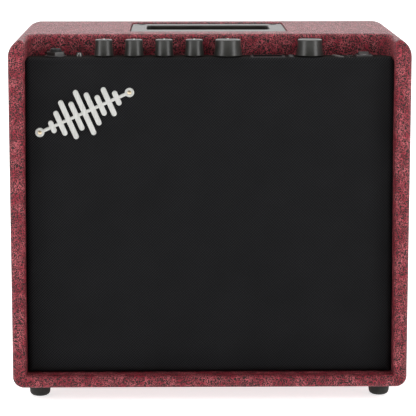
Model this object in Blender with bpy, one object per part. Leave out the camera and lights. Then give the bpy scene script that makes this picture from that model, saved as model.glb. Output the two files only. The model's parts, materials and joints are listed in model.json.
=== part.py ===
"""Practice guitar amplifier: a covered wooden cabinet with an 8-inch driver and a recessed top control panel.

Frame: metres, +Z up, the front faces -Y, and the origin is on the floor under the middle of the cabinet.
A "depth" is a distance back from the cabinet's front edge, so y = FRONT_Y + depth.
"""

from math import cos, pi, radians, sin, sqrt

import bmesh
import bpy
from mathutils import Matrix, Vector

# Cabinet
WIDTH = 0.358
DEPTH = 0.210
HEIGHT = 0.330
FOOT_HEIGHT = 0.0125
SIDE_THICKNESS = 0.0124
BOTTOM_THICKNESS = 0.0108
TOP_THICKNESS = 0.0124
TOP_CORNER_RADIUS = 0.017
BOTTOM_CORNER_RADIUS = 0.010
RIM_RADIUS = 0.004
GAP = 0.0003
FRONT_Y = -DEPTH / 2
INNER_X = WIDTH / 2 - SIDE_THICKNESS
FLOOR_Z = FOOT_HEIGHT + BOTTOM_THICKNESS
CEILING_Z = HEIGHT - TOP_THICKNESS

# Control recess: an open step along the top front edge, with the control panel as its floor
RECESS_DEPTH = 0.050
RECESS_BOARD = 0.012
RECESS_CORNER_RADIUS = 0.015
RECESS_HALF_X = INNER_X - 0.0024
PANEL_Z = HEIGHT - 0.0192
PANEL_THICKNESS = 0.002
PANEL_FRONT = 0.0224
PANEL_UNDERSIDE = PANEL_Z - PANEL_THICKNESS
CONTROL_DEPTH = 0.0340

# Electronics tray and boards under the panel
TRAY_FRONT = 0.0225
TRAY_BOTTOM_Z = 0.2640
SHEET = 0.0012
BOARD_THICKNESS = 0.0016
BOARD_Z = PANEL_Z - 0.0109
BOARD_HALF_LENGTH = 0.1300
BOARD_FRONT = 0.0240
BOARD_BACK = 0.0475

# Grille, baffle and back
GRILLE_FRONT = 0.0144
GRILLE_CORNER_RADIUS = 0.007
CLOTH_THICKNESS = 0.0005
CLOTH_TOP_Z = PANEL_Z - 0.0003
FRAME_THICKNESS = 0.0068
FRAME_RAIL = 0.020
BAFFLE_FRONT = 0.0223
BAFFLE_THICKNESS = 0.012
BACK_FRONT = 0.1945
BACK_THICKNESS = 0.009
BATTEN = 0.0147

# Controls, left to right
SMALL_KNOB_X = (-0.0951, -0.0680, -0.0409, -0.0138)
SMALL_KNOB_NAMES = ("gain", "volume", "treble", "bass")
MASTER_X = 0.0166
ENCODER_X = 0.0903
KNOB_CLEARANCE = 0.0009
KNOB_HEIGHT = 0.0147
SMALL_KNOB_BASE = 0.00875
SMALL_KNOB_TOP = 0.0078
MASTER_KNOB_BASE = 0.01285
MASTER_KNOB_TOP = 0.0114
ENCODER_KNOB_BASE = 0.0123
ENCODER_KNOB_TOP = 0.01105
SHAFT_RADIUS = 0.003
SHAFT_TOP_Z = PANEL_Z + 0.0110
POT_WIDTH = 0.0105
POT_DEPTH = 0.0115
POT_BOTTOM_Z = BOARD_Z + GAP
POT_TOP_Z = PANEL_UNDERSIDE - 0.0016
POT_FLOOR = 0.0010
ENCODER_WIDTH = 0.0135
PLUNGER_HEIGHT = 0.0011
PLUNGER_RADIUS = 0.0022
DISPLAY_X = (0.0385, 0.0665)
DISPLAY_DEPTH = (0.0250, 0.0455)
DISPLAY_THICKNESS = 0.0017
BUTTON_RADIUS = 0.0024
BUTTON_RISE = 0.0011
BUTTON_FOOT_Z = BOARD_Z + 0.0014
LAYER_BUTTON_SPOTS = ((0.0735, 0.0270), (0.0735, 0.0342), (0.0735, 0.0414))
UTILITY_BUTTON_SPOTS = ((0.1180, 0.0270), (0.1155, 0.0342), (0.1130, 0.0414))
JACK_X = -0.1384
JACK_HOLE_RADIUS = 0.00325
AUX_X = -0.1172
AUX_HOLE_RADIUS = 0.00178
PHONES_SPOT = (0.1272, 0.0425)
USB_SPOT = (0.1272, 0.0290)
USB_SIZE = (0.0036, 0.0084)
SWITCH_X = 0.1392
SWITCH_FLANGE = (0.0149, 0.0210)
SWITCH_BODY = (0.0126, 0.0186)
ROCKER_SIZE = (0.0092, 0.0150)
ROCKER_TILT = radians(7)
ROCKER_PIVOT_Z = PANEL_Z + 0.0006

# Carrying handle let into the top
HANDLE_HALF_X = 0.0725
HANDLE_DEPTHS = (0.0790, 0.1880)
HANDLE_DROP = 0.0012
HANDLE_THICKNESS = 0.0032
REBATE_GAP = 0.0004
SLOT_HALF_X = 0.0580
SLOT_DEPTHS = (0.1160, 0.1660)
GRIP_FRONT = 0.0960
GRIP_HEIGHT = 0.0105
CUP_HALF_X = 0.0582
CUP_DEPTHS = (0.0925, 0.1680)
CUP_WALL = 0.0020
CUP_FLOOR_Z = 0.2920

# Feet
FOOT_INSET_X = 0.0230
FOOT_DEPTHS = (0.0270, 0.1830)
FOOT_RADIUS = 0.0100

# Driver: its axis runs along Y, and its radii are measured from there
DRIVER_Z = 0.1380
DRIVER_HOLE_RADIUS = 0.0920
FLANGE_RADIUS = 0.1025
FLANGE_FRONT = BAFFLE_FRONT + BAFFLE_THICKNESS + GAP
COIL_RADIUS = 0.0130

# Badge: an abstract row of level bars on a slanting spine
BADGE_X = -0.1120
BADGE_Z = 0.2635
BADGE_TILT = radians(24)
BADGE_THICKNESS = 0.0019
BADGE_SPINE = (0.0880, 0.0030)
BADGE_PAD_RADIUS = 0.0042
BADGE_BAR_WIDTH = 0.0048
BADGE_BAR_HEIGHTS = (0.012, 0.024, 0.038, 0.028, 0.044, 0.032, 0.020, 0.028, 0.014)

# Mains side
INLET_X = -0.1050
INLET_Z = 0.0700
INLET_FLANGE = (0.0310, 0.0240)
INLET_BODY = (0.0270, 0.0198)
INLET_CAVITY = (0.0240, 0.0160)
INLET_LENGTH = 0.0230
PIN_STEP = 0.0070

CIRCLE = 20

MATERIALS = {
    "vinyl": ((0.25, 0.045, 0.07), 0.55, 0.0),
    "grille_cloth": ((0.012, 0.012, 0.014), 0.9, 0.0),
    "black_plastic": ((0.02, 0.02, 0.02), 0.4, 0.0),
    "knob_plastic": ((0.05, 0.05, 0.047), 0.38, 0.0),
    "panel": ((0.016, 0.016, 0.017), 0.45, 0.0),
    "badge_metal": ((0.60, 0.60, 0.57), 0.35, 0.6),
    "rubber": ((0.02, 0.02, 0.018), 0.8, 0.0),
    "board_wood": ((0.05, 0.045, 0.04), 0.8, 0.0),
    "sheet_steel": ((0.42, 0.42, 0.43), 0.35, 1.0),
    "circuit_board": ((0.02, 0.12, 0.06), 0.5, 0.0),
    "nickel": ((0.66, 0.64, 0.60), 0.25, 1.0),
    "display_glass": ((0.01, 0.01, 0.012), 0.08, 0.0),
    "paper_cone": ((0.03, 0.03, 0.03), 0.9, 0.0),
    "magnet_ferrite": ((0.035, 0.035, 0.038), 0.6, 0.0),
    "copper": ((0.55, 0.25, 0.12), 0.35, 0.9),
}


def at_depth(depth):
    """The y of a depth behind the cabinet's front edge."""
    return FRONT_Y + depth


# ---------------------------------------------------------------- outlines


def arc(cx, cy, radius, start, end, steps):
    """Points along an arc, its ends included, with angles in radians."""
    angles = [start + (end - start) * i / steps for i in range(steps + 1)]
    return [(cx + radius * cos(a), cy + radius * sin(a)) for a in angles]


def circle(radius, steps=CIRCLE, cx=0.0, cy=0.0, turn=0.0):
    return arc(cx, cy, radius, turn, turn + 2 * pi, steps)[:-1]


def rectangle(x0, y0, x1, y1, radii=(0, 0, 0, 0), steps=4):
    """A counter-clockwise rectangle whose corners (x0y0, x1y0, x1y1, x0y1) may be rounded."""
    corners = ((x0, y0, 1, 1, pi), (x1, y0, -1, 1, 1.5 * pi), (x1, y1, -1, -1, 0), (x0, y1, 1, -1, 0.5 * pi))
    points = []
    for (x, y, sx, sy, start), radius in zip(corners, radii):
        if radius:
            points += arc(x + sx * radius, y + sy * radius, radius, start, start + pi / 2, steps)
        else:
            points.append((x, y))
    return points


def hexagon(across_flats):
    return circle(across_flats / sqrt(3), 6)


# ---------------------------------------------------------------- mesh building

# Each frame turns a local outline's (u, v) and its height w into (x, y, z).
UP = Matrix.Identity(4)  # u, v, w are x, y, z
BACKWARD = Matrix(((1, 0, 0, 0), (0, 0, 1, 0), (0, 1, 0, 0), (0, 0, 0, 1)))  # u, v are x, z and w is y
SIDEWAYS = Matrix(((0, 0, 1, 0), (1, 0, 0, 0), (0, 1, 0, 0), (0, 0, 0, 1)))  # u, v are y, z and w is x


def add_prism(mesh, outline, low, high, frame=UP):
    """Adds the outline's prism between two heights along the frame's third axis."""
    rings = [[mesh.verts.new(frame @ Vector((u, v, w))) for u, v in outline] for w in (low, high)]
    faces = [mesh.faces.new(rings[0][::-1]), mesh.faces.new(rings[1])]
    count = len(outline)
    for i in range(count):
        j = (i + 1) % count
        faces.append(mesh.faces.new((rings[0][i], rings[0][j], rings[1][j], rings[1][i])))
    return faces


def add_box(mesh, low, high):
    return add_prism(mesh, rectangle(low[0], low[1], high[0], high[1]), low[2], high[2])


def add_turned(mesh, profile, steps=CIRCLE, centre=(0, 0), frame=UP):
    """Adds a solid turned about the frame's third axis from a closed profile of (radius, height) points."""
    on_axis = 1e-7
    columns = []
    for radius, height in profile:
        if radius < on_axis:
            columns.append([mesh.verts.new(frame @ Vector((centre[0], centre[1], height)))] * steps)
            continue
        ring = circle(radius, steps, *centre)
        columns.append([mesh.verts.new(frame @ Vector((u, v, height))) for u, v in ring])
    for here, there in zip(columns, columns[1:] + columns[:1]):
        if here[0] is here[1] and there[0] is there[1]:
            continue
        for j in range(steps):
            k = (j + 1) % steps
            corners = dict.fromkeys((here[j], here[k], there[k], there[j]))
            mesh.faces.new(tuple(corners))


def material_of(name):
    found = bpy.data.materials.get(name)
    if found:
        return found
    colour, roughness, metallic = MATERIALS[name]
    made = bpy.data.materials.new(name)
    made.use_nodes = True
    shader = made.node_tree.nodes["Principled BSDF"]
    shader.inputs["Base Color"].default_value = (*colour, 1)
    shader.inputs["Roughness"].default_value = roughness
    shader.inputs["Metallic"].default_value = metallic
    return made


def make(name, mesh, material, location=(0, 0, 0), rotation=(0, 0, 0), parent=None, smooth=True):
    """Turns a bmesh into a named object with its normals pointing out."""
    bmesh.ops.remove_doubles(mesh, verts=mesh.verts, dist=1e-7)
    bmesh.ops.recalc_face_normals(mesh, faces=mesh.faces)
    data = bpy.data.meshes.new(name)
    mesh.to_mesh(data)
    mesh.free()
    if smooth:
        data.shade_smooth()
        data.set_sharp_from_angle(angle=radians(35))
    data.materials.append(material_of(material))
    made = bpy.data.objects.new(name, data)
    made.location = location
    made.rotation_euler = rotation
    bpy.context.scene.collection.objects.link(made)
    if parent:
        made.parent = parent
    return made


def helper(name, mesh):
    """A cutter or a joining shape, which isn't a part."""
    made = make(name, mesh, "panel", smooth=False)
    made.hide_render = True
    made.display_type = "WIRE"
    return made


def boolean(target, mesh, operation):
    """Cuts a bmesh from an object, or joins it on. The mesh is in world coordinates."""
    tool = helper(f"{target.name}_{operation.lower()}_{len(target.modifiers)}", mesh)
    step = target.modifiers.new(operation.title(), "BOOLEAN")
    step.operation = operation
    step.solver = "EXACT"
    step.object = tool


def pivot(name, location):
    made = bpy.data.objects.new(name, None)
    made.location = location
    bpy.context.scene.collection.objects.link(made)
    return made


def simple(name, material, build, **placing):
    """An object whose bmesh is filled by build(mesh)."""
    mesh = bmesh.new()
    build(mesh)
    return make(name, mesh, material, **placing)


# ---------------------------------------------------------------- cabinet


def round_rims(mesh, radius, segments):
    """Rounds the outer edges that run round the front and back ends of the shell."""
    ends = {FRONT_Y, -FRONT_Y}
    rims = [e for e in mesh.edges if any(all(abs(v.co.y - y) < 1e-6 for v in e.verts) for y in ends)]
    bmesh.ops.bevel(mesh, geom=rims, offset=radius, segments=segments, profile=0.5, affect="EDGES")


def cavity_cutter():
    """The shell's hollow below the panel and the top board, stepped round the recess board."""
    board_back = RECESS_DEPTH + RECESS_BOARD
    board_foot = TRAY_BOTTOM_Z - 0.002
    outline = (
        (at_depth(-0.010), FLOOR_Z),
        (at_depth(DEPTH + 0.010), FLOOR_Z),
        (at_depth(DEPTH + 0.010), CEILING_Z),
        (at_depth(board_back), CEILING_Z),
        (at_depth(board_back), board_foot),
        (at_depth(RECESS_DEPTH), board_foot),
        (at_depth(RECESS_DEPTH), PANEL_UNDERSIDE - GAP),
        (at_depth(-0.010), PANEL_UNDERSIDE - GAP),
    )
    mesh = bmesh.new()
    add_prism(mesh, outline, -INNER_X, INNER_X, SIDEWAYS)
    return mesh


def recess_cutter():
    """The control recess: open above and in front, with round back corners."""
    corner = RECESS_CORNER_RADIUS
    half = RECESS_HALF_X
    outline = rectangle(-half, at_depth(-0.010), half, at_depth(RECESS_DEPTH), (0, 0, corner, corner), 5)
    mesh = bmesh.new()
    add_prism(mesh, outline, PANEL_UNDERSIDE - 0.001, HEIGHT + 0.010)
    return mesh


def build_shell():
    mesh = bmesh.new()
    radii = (BOTTOM_CORNER_RADIUS, BOTTOM_CORNER_RADIUS, TOP_CORNER_RADIUS, TOP_CORNER_RADIUS)
    outline = rectangle(-WIDTH / 2, FOOT_HEIGHT, WIDTH / 2, HEIGHT, radii, steps=8)
    add_prism(mesh, outline, FRONT_Y, -FRONT_Y, BACKWARD)
    round_rims(mesh, RIM_RADIUS, 2)
    shell = make("cabinet_shell", mesh, "vinyl")
    boolean(shell, cavity_cutter(), "DIFFERENCE")
    boolean(shell, recess_cutter(), "DIFFERENCE")

    battens = bmesh.new()
    overlap = 0.002
    for side in (-1, 1):
        xs = sorted((side * (INNER_X + overlap), side * (INNER_X - BATTEN)))
        add_box(
            battens,
            (xs[0], at_depth(BACK_FRONT - GAP - BATTEN), FLOOR_Z - overlap),
            (xs[1], at_depth(BACK_FRONT - GAP), CEILING_Z + overlap),
        )
    boolean(shell, battens, "UNION")

    handle_hole = bmesh.new()
    add_prism(
        handle_hole,
        rectangle(
            -HANDLE_HALF_X - REBATE_GAP, at_depth(HANDLE_DEPTHS[0] - REBATE_GAP),
            HANDLE_HALF_X + REBATE_GAP, at_depth(HANDLE_DEPTHS[1] + REBATE_GAP), (0.005,) * 4,
        ),
        HEIGHT - HANDLE_DROP - HANDLE_THICKNESS - GAP,
        HEIGHT + 0.010,
    )
    boolean(shell, handle_hole, "DIFFERENCE")
    cup_hole = bmesh.new()
    reach = CUP_WALL + REBATE_GAP
    add_prism(
        cup_hole,
        rectangle(
            -CUP_HALF_X - reach, at_depth(CUP_DEPTHS[0] - reach),
            CUP_HALF_X + reach, at_depth(CUP_DEPTHS[1] + reach), (0.006,) * 4,
        ),
        CEILING_Z - 0.010,
        HEIGHT + 0.005,
    )
    boolean(shell, cup_hole, "DIFFERENCE")


def build_baffle():
    def board(mesh):
        add_box(
            mesh,
            (-INNER_X + GAP, at_depth(BAFFLE_FRONT), FLOOR_Z + GAP),
            (INNER_X - GAP, at_depth(BAFFLE_FRONT + BAFFLE_THICKNESS), TRAY_BOTTOM_Z - 0.002 - GAP),
        )

    baffle = simple("baffle_board", "board_wood", board)
    hole = bmesh.new()
    outline = circle(DRIVER_HOLE_RADIUS, 40, 0, DRIVER_Z)
    add_prism(hole, outline, at_depth(0), at_depth(0.060), BACKWARD)
    boolean(baffle, hole, "DIFFERENCE")


def build_grille():
    """A wooden frame with round top corners, and the cloth stretched over its front."""
    half = INNER_X - 0.0008
    low, high = FLOOR_Z + 0.0007, CLOTH_TOP_Z
    corner = GRILLE_CORNER_RADIUS
    outline = rectangle(-half, low, half, high, (0, 0, corner, corner), 5)
    cloth_back = GRILLE_FRONT + CLOTH_THICKNESS
    simple("grille_cloth", "grille_cloth", lambda mesh: add_prism(
        mesh, outline, at_depth(GRILLE_FRONT), at_depth(cloth_back), BACKWARD
    ))
    front = cloth_back + GAP
    frame = simple("grille_frame", "board_wood", lambda mesh: add_prism(
        mesh, outline, at_depth(front), at_depth(front + FRAME_THICKNESS), BACKWARD
    ))
    window = bmesh.new()
    add_box(
        window,
        (-half + FRAME_RAIL, at_depth(0), low + FRAME_RAIL),
        (half - FRAME_RAIL, at_depth(0.050), high - FRAME_RAIL),
    )
    boolean(frame, window, "DIFFERENCE")


def build_back_panel():
    def board(mesh):
        add_box(
            mesh,
            (-INNER_X + GAP, at_depth(BACK_FRONT), FLOOR_Z + GAP),
            (INNER_X - GAP, at_depth(BACK_FRONT + BACK_THICKNESS), CEILING_Z - GAP),
        )

    back = simple("back_panel", "board_wood", board)
    hole = bmesh.new()
    half_x = INLET_BODY[0] / 2 + GAP
    half_z = INLET_BODY[1] / 2 + GAP
    add_box(hole, (INLET_X - half_x, at_depth(0.180), INLET_Z - half_z),
            (INLET_X + half_x, at_depth(0.215), INLET_Z + half_z))
    boolean(back, hole, "DIFFERENCE")


def build_feet():
    top = FOOT_HEIGHT - GAP
    profile = [(0, 0.0035), (0.0035, 0.0035), (0.0042, 0), (0.0055, 0)]
    profile += arc(0.0058, 0.0038, 0.0038, -pi / 2, -0.1, 4)
    profile += [(FOOT_RADIUS, top), (0, top)]
    spots = {
        "foot_front_left": (-1, FOOT_DEPTHS[0]),
        "foot_front_right": (1, FOOT_DEPTHS[0]),
        "foot_back_left": (-1, FOOT_DEPTHS[1]),
        "foot_back_right": (1, FOOT_DEPTHS[1]),
    }
    for name, (side, depth) in spots.items():
        place = (side * (WIDTH / 2 - FOOT_INSET_X), at_depth(depth), 0)
        simple(name, "rubber", lambda mesh: add_turned(mesh, profile, 16), location=place)


def build_badge():
    """Level bars on a slanting spine, with a round pad at each end for its fixing."""
    length, spine = BADGE_SPINE
    tilt = Matrix.Translation((BADGE_X, 0, BADGE_Z)) @ Matrix.Rotation(-BADGE_TILT, 4, "Y") @ BACKWARD
    back = at_depth(GRILLE_FRONT - GAP)
    front = back - BADGE_THICKNESS

    def piece(outline):
        mesh = bmesh.new()
        add_prism(mesh, outline, front, back, tilt)
        return mesh

    badge = make("badge", piece(rectangle(-length / 2, -spine / 2, length / 2, spine / 2)), "badge_metal")
    count = len(BADGE_BAR_HEIGHTS)
    pitch = (length - 4 * BADGE_PAD_RADIUS) / count
    for i, height in enumerate(BADGE_BAR_HEIGHTS):
        x = (i - (count - 1) / 2) * pitch
        half = BADGE_BAR_WIDTH / 2
        rounding = (half * 0.98,) * 4
        bar = rectangle(x - half, -height / 2, x + half, height / 2, rounding)
        boolean(badge, piece(bar), "UNION")
    for side in (-1, 1):
        boolean(badge, piece(circle(BADGE_PAD_RADIUS, 16, side * length / 2)), "UNION")


# ---------------------------------------------------------------- carrying handle


def build_handle():
    top = HEIGHT - HANDLE_DROP
    underside = top - HANDLE_THICKNESS
    front, back = at_depth(HANDLE_DEPTHS[0]), at_depth(HANDLE_DEPTHS[1])
    outline = rectangle(-HANDLE_HALF_X, front, HANDLE_HALF_X, back, (0.0046,) * 4)
    plate = simple("handle_plate", "black_plastic", lambda mesh: add_prism(mesh, outline, underside, top))
    grip = bmesh.new()
    grip_outline = rectangle(
        at_depth(GRIP_FRONT), underside - GRIP_HEIGHT, at_depth(SLOT_DEPTHS[0] + 0.001), underside + 0.001,
        (0.005, 0.005, 0, 0),
    )
    add_prism(grip, grip_outline, -SLOT_HALF_X + 0.0012, SLOT_HALF_X - 0.0012, SIDEWAYS)
    boolean(plate, grip, "UNION")
    slot = bmesh.new()
    add_prism(
        slot,
        rectangle(-SLOT_HALF_X, at_depth(SLOT_DEPTHS[0]), SLOT_HALF_X, at_depth(SLOT_DEPTHS[1]), (0.004,) * 4),
        underside - 0.030,
        top + 0.010,
    )
    boolean(plate, slot, "DIFFERENCE")

    rim = underside - GAP
    cup = simple("handle_cup", "black_plastic", lambda mesh: add_prism(
        mesh,
        rectangle(
            -CUP_HALF_X - CUP_WALL, at_depth(CUP_DEPTHS[0] - CUP_WALL),
            CUP_HALF_X + CUP_WALL, at_depth(CUP_DEPTHS[1] + CUP_WALL), (0.006,) * 4,
        ),
        CUP_FLOOR_Z - CUP_WALL,
        rim,
    ))
    hollow = bmesh.new()
    add_prism(
        hollow,
        rectangle(-CUP_HALF_X, at_depth(CUP_DEPTHS[0]), CUP_HALF_X, at_depth(CUP_DEPTHS[1]), (0.004,) * 4),
        CUP_FLOOR_Z,
        rim + 0.010,
    )
    boolean(cup, hollow, "DIFFERENCE")


# ---------------------------------------------------------------- control panel


def spot(x, depth, z=0.0):
    return (x, at_depth(depth), z)


def panel_holes():
    """Every hole through the control panel, as one cutter."""
    mesh = bmesh.new()
    low, high = PANEL_Z - 0.010, PANEL_Z + 0.010

    def drill(x, depth, radius, steps=16):
        add_prism(mesh, circle(radius, steps, x, at_depth(depth)), low, high)

    for x in (*SMALL_KNOB_X, MASTER_X, ENCODER_X):
        drill(x, CONTROL_DEPTH, SHAFT_RADIUS + 0.0006)
    for x, depth in LAYER_BUTTON_SPOTS + UTILITY_BUTTON_SPOTS:
        drill(x, depth, BUTTON_RADIUS + GAP)
    drill(JACK_X, CONTROL_DEPTH, 0.0058)
    drill(AUX_X, CONTROL_DEPTH, 0.0028)
    drill(*PHONES_SPOT, 0.0031)
    boxes = (
        (*DISPLAY_X, at_depth(DISPLAY_DEPTH[0]), at_depth(DISPLAY_DEPTH[1]), GAP),
        (SWITCH_X - SWITCH_BODY[0] / 2, SWITCH_X + SWITCH_BODY[0] / 2,
         at_depth(CONTROL_DEPTH) - SWITCH_BODY[1] / 2, at_depth(CONTROL_DEPTH) + SWITCH_BODY[1] / 2, GAP),
        (USB_SPOT[0] - USB_SIZE[0] / 2, USB_SPOT[0] + USB_SIZE[0] / 2,
         at_depth(USB_SPOT[1]) - USB_SIZE[1] / 2, at_depth(USB_SPOT[1]) + USB_SIZE[1] / 2, GAP),
    )
    for x0, x1, y0, y1, gap in boxes:
        add_box(mesh, (x0 - gap, y0 - gap, low), (x1 + gap, y1 + gap, high))
    return mesh


def build_control_panel():
    half = RECESS_HALF_X - 0.0006
    back = at_depth(RECESS_DEPTH - 0.0005)
    corner = RECESS_CORNER_RADIUS - 0.0004
    panel = simple("control_panel", "panel", lambda mesh: add_prism(
        mesh,
        rectangle(-half, at_depth(PANEL_FRONT), half, back, (0, 0, corner, corner), 5),
        PANEL_UNDERSIDE,
        PANEL_Z,
    ))
    boolean(panel, panel_holes(), "DIFFERENCE")


def build_tray():
    half = INNER_X - 0.0026
    back = RECESS_DEPTH - 0.0010
    top = PANEL_UNDERSIDE - GAP
    tray = simple("chassis_tray", "sheet_steel", lambda mesh: add_box(
        mesh, (-half, at_depth(TRAY_FRONT), TRAY_BOTTOM_Z), (half, at_depth(back), top)
    ))
    inside = bmesh.new()
    add_box(
        inside,
        (-half + SHEET, at_depth(TRAY_FRONT + SHEET), TRAY_BOTTOM_Z + SHEET),
        (half - SHEET, at_depth(back - SHEET), top + 0.010),
    )
    boolean(tray, inside, "DIFFERENCE")


def build_main_board():
    simple("main_board", "circuit_board", lambda mesh: add_box(
        mesh,
        (-BOARD_HALF_LENGTH, at_depth(BOARD_FRONT), BOARD_Z - BOARD_THICKNESS),
        (BOARD_HALF_LENGTH, at_depth(BOARD_BACK), BOARD_Z),
    ))


def knob_profile(base, top):
    """A flared skirt, a tapering side, a chamfered rim and a shallow dish, with a blind bore for the shaft."""
    bore = SHAFT_RADIUS + GAP
    bore_top = SHAFT_TOP_Z - PANEL_Z - KNOB_CLEARANCE + GAP
    return [
        (0, bore_top),
        (bore, bore_top),
        (bore, 0),
        (base - 0.0006, 0),
        (base, 0.0006),
        (base - 0.0002, 0.0016),
        (top + 0.0001, KNOB_HEIGHT - 0.0010),
        (top - 0.0007, KNOB_HEIGHT - 0.0002),
        (top - 0.0014, KNOB_HEIGHT),
        (top - 0.0034, KNOB_HEIGHT - 0.0004),
        (0, KNOB_HEIGHT - 0.0006),
    ]


def build_knob(name, x, base, top, steps=CIRCLE):
    place = spot(x, CONTROL_DEPTH, PANEL_Z + KNOB_CLEARANCE)
    profile = knob_profile(base, top)
    simple(name, "knob_plastic", lambda mesh: add_turned(mesh, profile, steps), location=place)


def build_shaft(name, x, foot_z):
    place = spot(x, CONTROL_DEPTH, foot_z)
    length = SHAFT_TOP_Z - foot_z
    simple(name, "nickel", lambda mesh: add_prism(mesh, circle(SHAFT_RADIUS, 12), 0, length), location=place)


def build_control_body(name, x, width, depth, floor):
    """A potentiometer's or encoder's case, with a blind hole that its shaft turns in."""
    y = at_depth(CONTROL_DEPTH)
    body = simple(name, "black_plastic", lambda mesh: add_box(
        mesh, (x - width / 2, y - depth / 2, POT_BOTTOM_Z), (x + width / 2, y + depth / 2, POT_TOP_Z)
    ))
    hole = bmesh.new()
    add_prism(hole, circle(SHAFT_RADIUS + GAP, 16, x, y), POT_BOTTOM_Z + floor, POT_TOP_Z + 0.010)
    boolean(body, hole, "DIFFERENCE")


def build_rotary_controls():
    shaft_foot = POT_BOTTOM_Z + POT_FLOOR + GAP
    for name, x in zip(SMALL_KNOB_NAMES, SMALL_KNOB_X):
        build_knob(f"{name}_knob", x, SMALL_KNOB_BASE, SMALL_KNOB_TOP)
        build_shaft(f"{name}_shaft", x, shaft_foot)
        build_control_body(f"{name}_potentiometer", x, POT_WIDTH, POT_DEPTH, POT_FLOOR)
    build_knob("master_knob", MASTER_X, MASTER_KNOB_BASE, MASTER_KNOB_TOP, 32)
    build_shaft("master_shaft", MASTER_X, shaft_foot)
    build_control_body("master_potentiometer", MASTER_X, POT_WIDTH, POT_DEPTH, POT_FLOOR)

    travel_room = 0.0008
    plunger_foot = POT_BOTTOM_Z + POT_FLOOR + travel_room
    build_knob("encoder_knob", ENCODER_X, ENCODER_KNOB_BASE, ENCODER_KNOB_TOP, 32)
    build_shaft("encoder_shaft", ENCODER_X, plunger_foot + PLUNGER_HEIGHT + GAP)
    build_control_body("encoder_body", ENCODER_X, ENCODER_WIDTH, ENCODER_WIDTH, POT_FLOOR)
    simple(
        "encoder_plunger", "black_plastic",
        lambda mesh: add_prism(mesh, circle(PLUNGER_RADIUS, 12), 0, PLUNGER_HEIGHT),
        location=spot(ENCODER_X, CONTROL_DEPTH, plunger_foot),
    )


def build_display():
    simple("display_window", "display_glass", lambda mesh: add_box(
        mesh,
        (DISPLAY_X[0], at_depth(DISPLAY_DEPTH[0]), PANEL_Z - 0.0002 - DISPLAY_THICKNESS),
        (DISPLAY_X[1], at_depth(DISPLAY_DEPTH[1]), PANEL_Z - 0.0002),
    ))


def build_buttons():
    height = PANEL_Z + BUTTON_RISE - BUTTON_FOOT_Z
    dome = 0.0005
    profile = [
        (0, 0), (BUTTON_RADIUS, 0), (BUTTON_RADIUS, height - dome), (BUTTON_RADIUS - dome, height), (0, height),
    ]
    for group, spots in (("layer", LAYER_BUTTON_SPOTS), ("utility", UTILITY_BUTTON_SPOTS)):
        for number, (x, depth) in enumerate(spots, 1):
            simple(
                f"{group}_button_{number}", "black_plastic",
                lambda mesh: add_turned(mesh, profile, 16), location=spot(x, depth, BUTTON_FOOT_Z),
            )


def build_input_jack():
    """The threaded collar with its flange and hex nut, and the socket body below the panel."""
    y = at_depth(CONTROL_DEPTH)
    hole = JACK_HOLE_RADIUS
    base = PANEL_Z + GAP
    thread, flange, flange_top, lip = 0.0055, 0.0098, base + 0.0013, base + 0.0072
    profile = [
        (hole, PANEL_UNDERSIDE), (thread, PANEL_UNDERSIDE), (thread, base),
        (flange, base), (flange, base + 0.0009), (flange - 0.0006, flange_top),
        (0.0063, flange_top), (0.0058, base + 0.0046), (0.0046, lip), (hole, lip),
    ]
    collar = simple(
        "input_jack_collar", "black_plastic", lambda mesh: add_turned(mesh, profile, CIRCLE, (JACK_X, y))
    )
    nut = bmesh.new()
    outline = [(u + JACK_X, v + y) for u, v in hexagon(0.0150)]
    add_prism(nut, outline, base + 0.0012, base + 0.0042)
    boolean(collar, nut, "UNION")
    bore = bmesh.new()
    add_prism(bore, circle(hole, CIRCLE, JACK_X, y), PANEL_UNDERSIDE - 0.010, PANEL_Z + 0.020)
    boolean(collar, bore, "DIFFERENCE")

    half = 0.0078
    top = PANEL_UNDERSIDE - GAP
    socket_depth = 0.0260
    body = simple("input_jack_body", "black_plastic", lambda mesh: add_box(
        mesh, (JACK_X - half, y - half, top - socket_depth), (JACK_X + half, y + half, top)
    ))
    socket = bmesh.new()
    add_prism(socket, circle(hole, CIRCLE, JACK_X, y), top - socket_depth + 0.002, top + 0.010)
    boolean(body, socket, "DIFFERENCE")


def build_small_sockets():
    y = at_depth(CONTROL_DEPTH)
    hole = AUX_HOLE_RADIUS
    foot, seat, step, rim = BOARD_Z + GAP + 0.0010, PANEL_Z + GAP, PANEL_Z + 0.0018, PANEL_Z + 0.0036
    barrel, nut, nose = 0.0026, 0.0033, 0.0024
    aux_profile = [
        (hole, foot), (barrel, foot), (barrel, seat), (nut, seat), (nut, step),
        (nose, step), (nose, rim - 0.0004), (nose - 0.0003, rim), (hole, rim),
    ]
    simple("aux_jack", "nickel", lambda mesh: add_turned(mesh, aux_profile, 16, (AUX_X, y)))

    face = PANEL_Z + 0.0004
    foot, barrel = BOARD_Z + GAP, 0.0028
    phones = [(hole, foot), (barrel, foot), (barrel, face - 0.0003), (barrel - 0.0003, face), (hole, face)]
    place = (PHONES_SPOT[0], at_depth(PHONES_SPOT[1]))
    simple("headphone_jack", "black_plastic", lambda mesh: add_turned(mesh, phones, 16, place))

    x, depth = USB_SPOT
    low = (x - USB_SIZE[0] / 2, at_depth(depth) - USB_SIZE[1] / 2, BOARD_Z + GAP)
    high = (x + USB_SIZE[0] / 2, at_depth(depth) + USB_SIZE[1] / 2, PANEL_Z - 0.0002)
    wall = 0.0005
    port = simple("usb_port", "nickel", lambda mesh: add_box(mesh, low, high))
    mouth = bmesh.new()
    opening = (low[0] + wall, low[1] + wall, high[2] - 0.0060)
    add_box(mouth, opening, (high[0] - wall, high[1] - wall, high[2] + 0.010))
    boolean(port, mouth, "DIFFERENCE")


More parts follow.
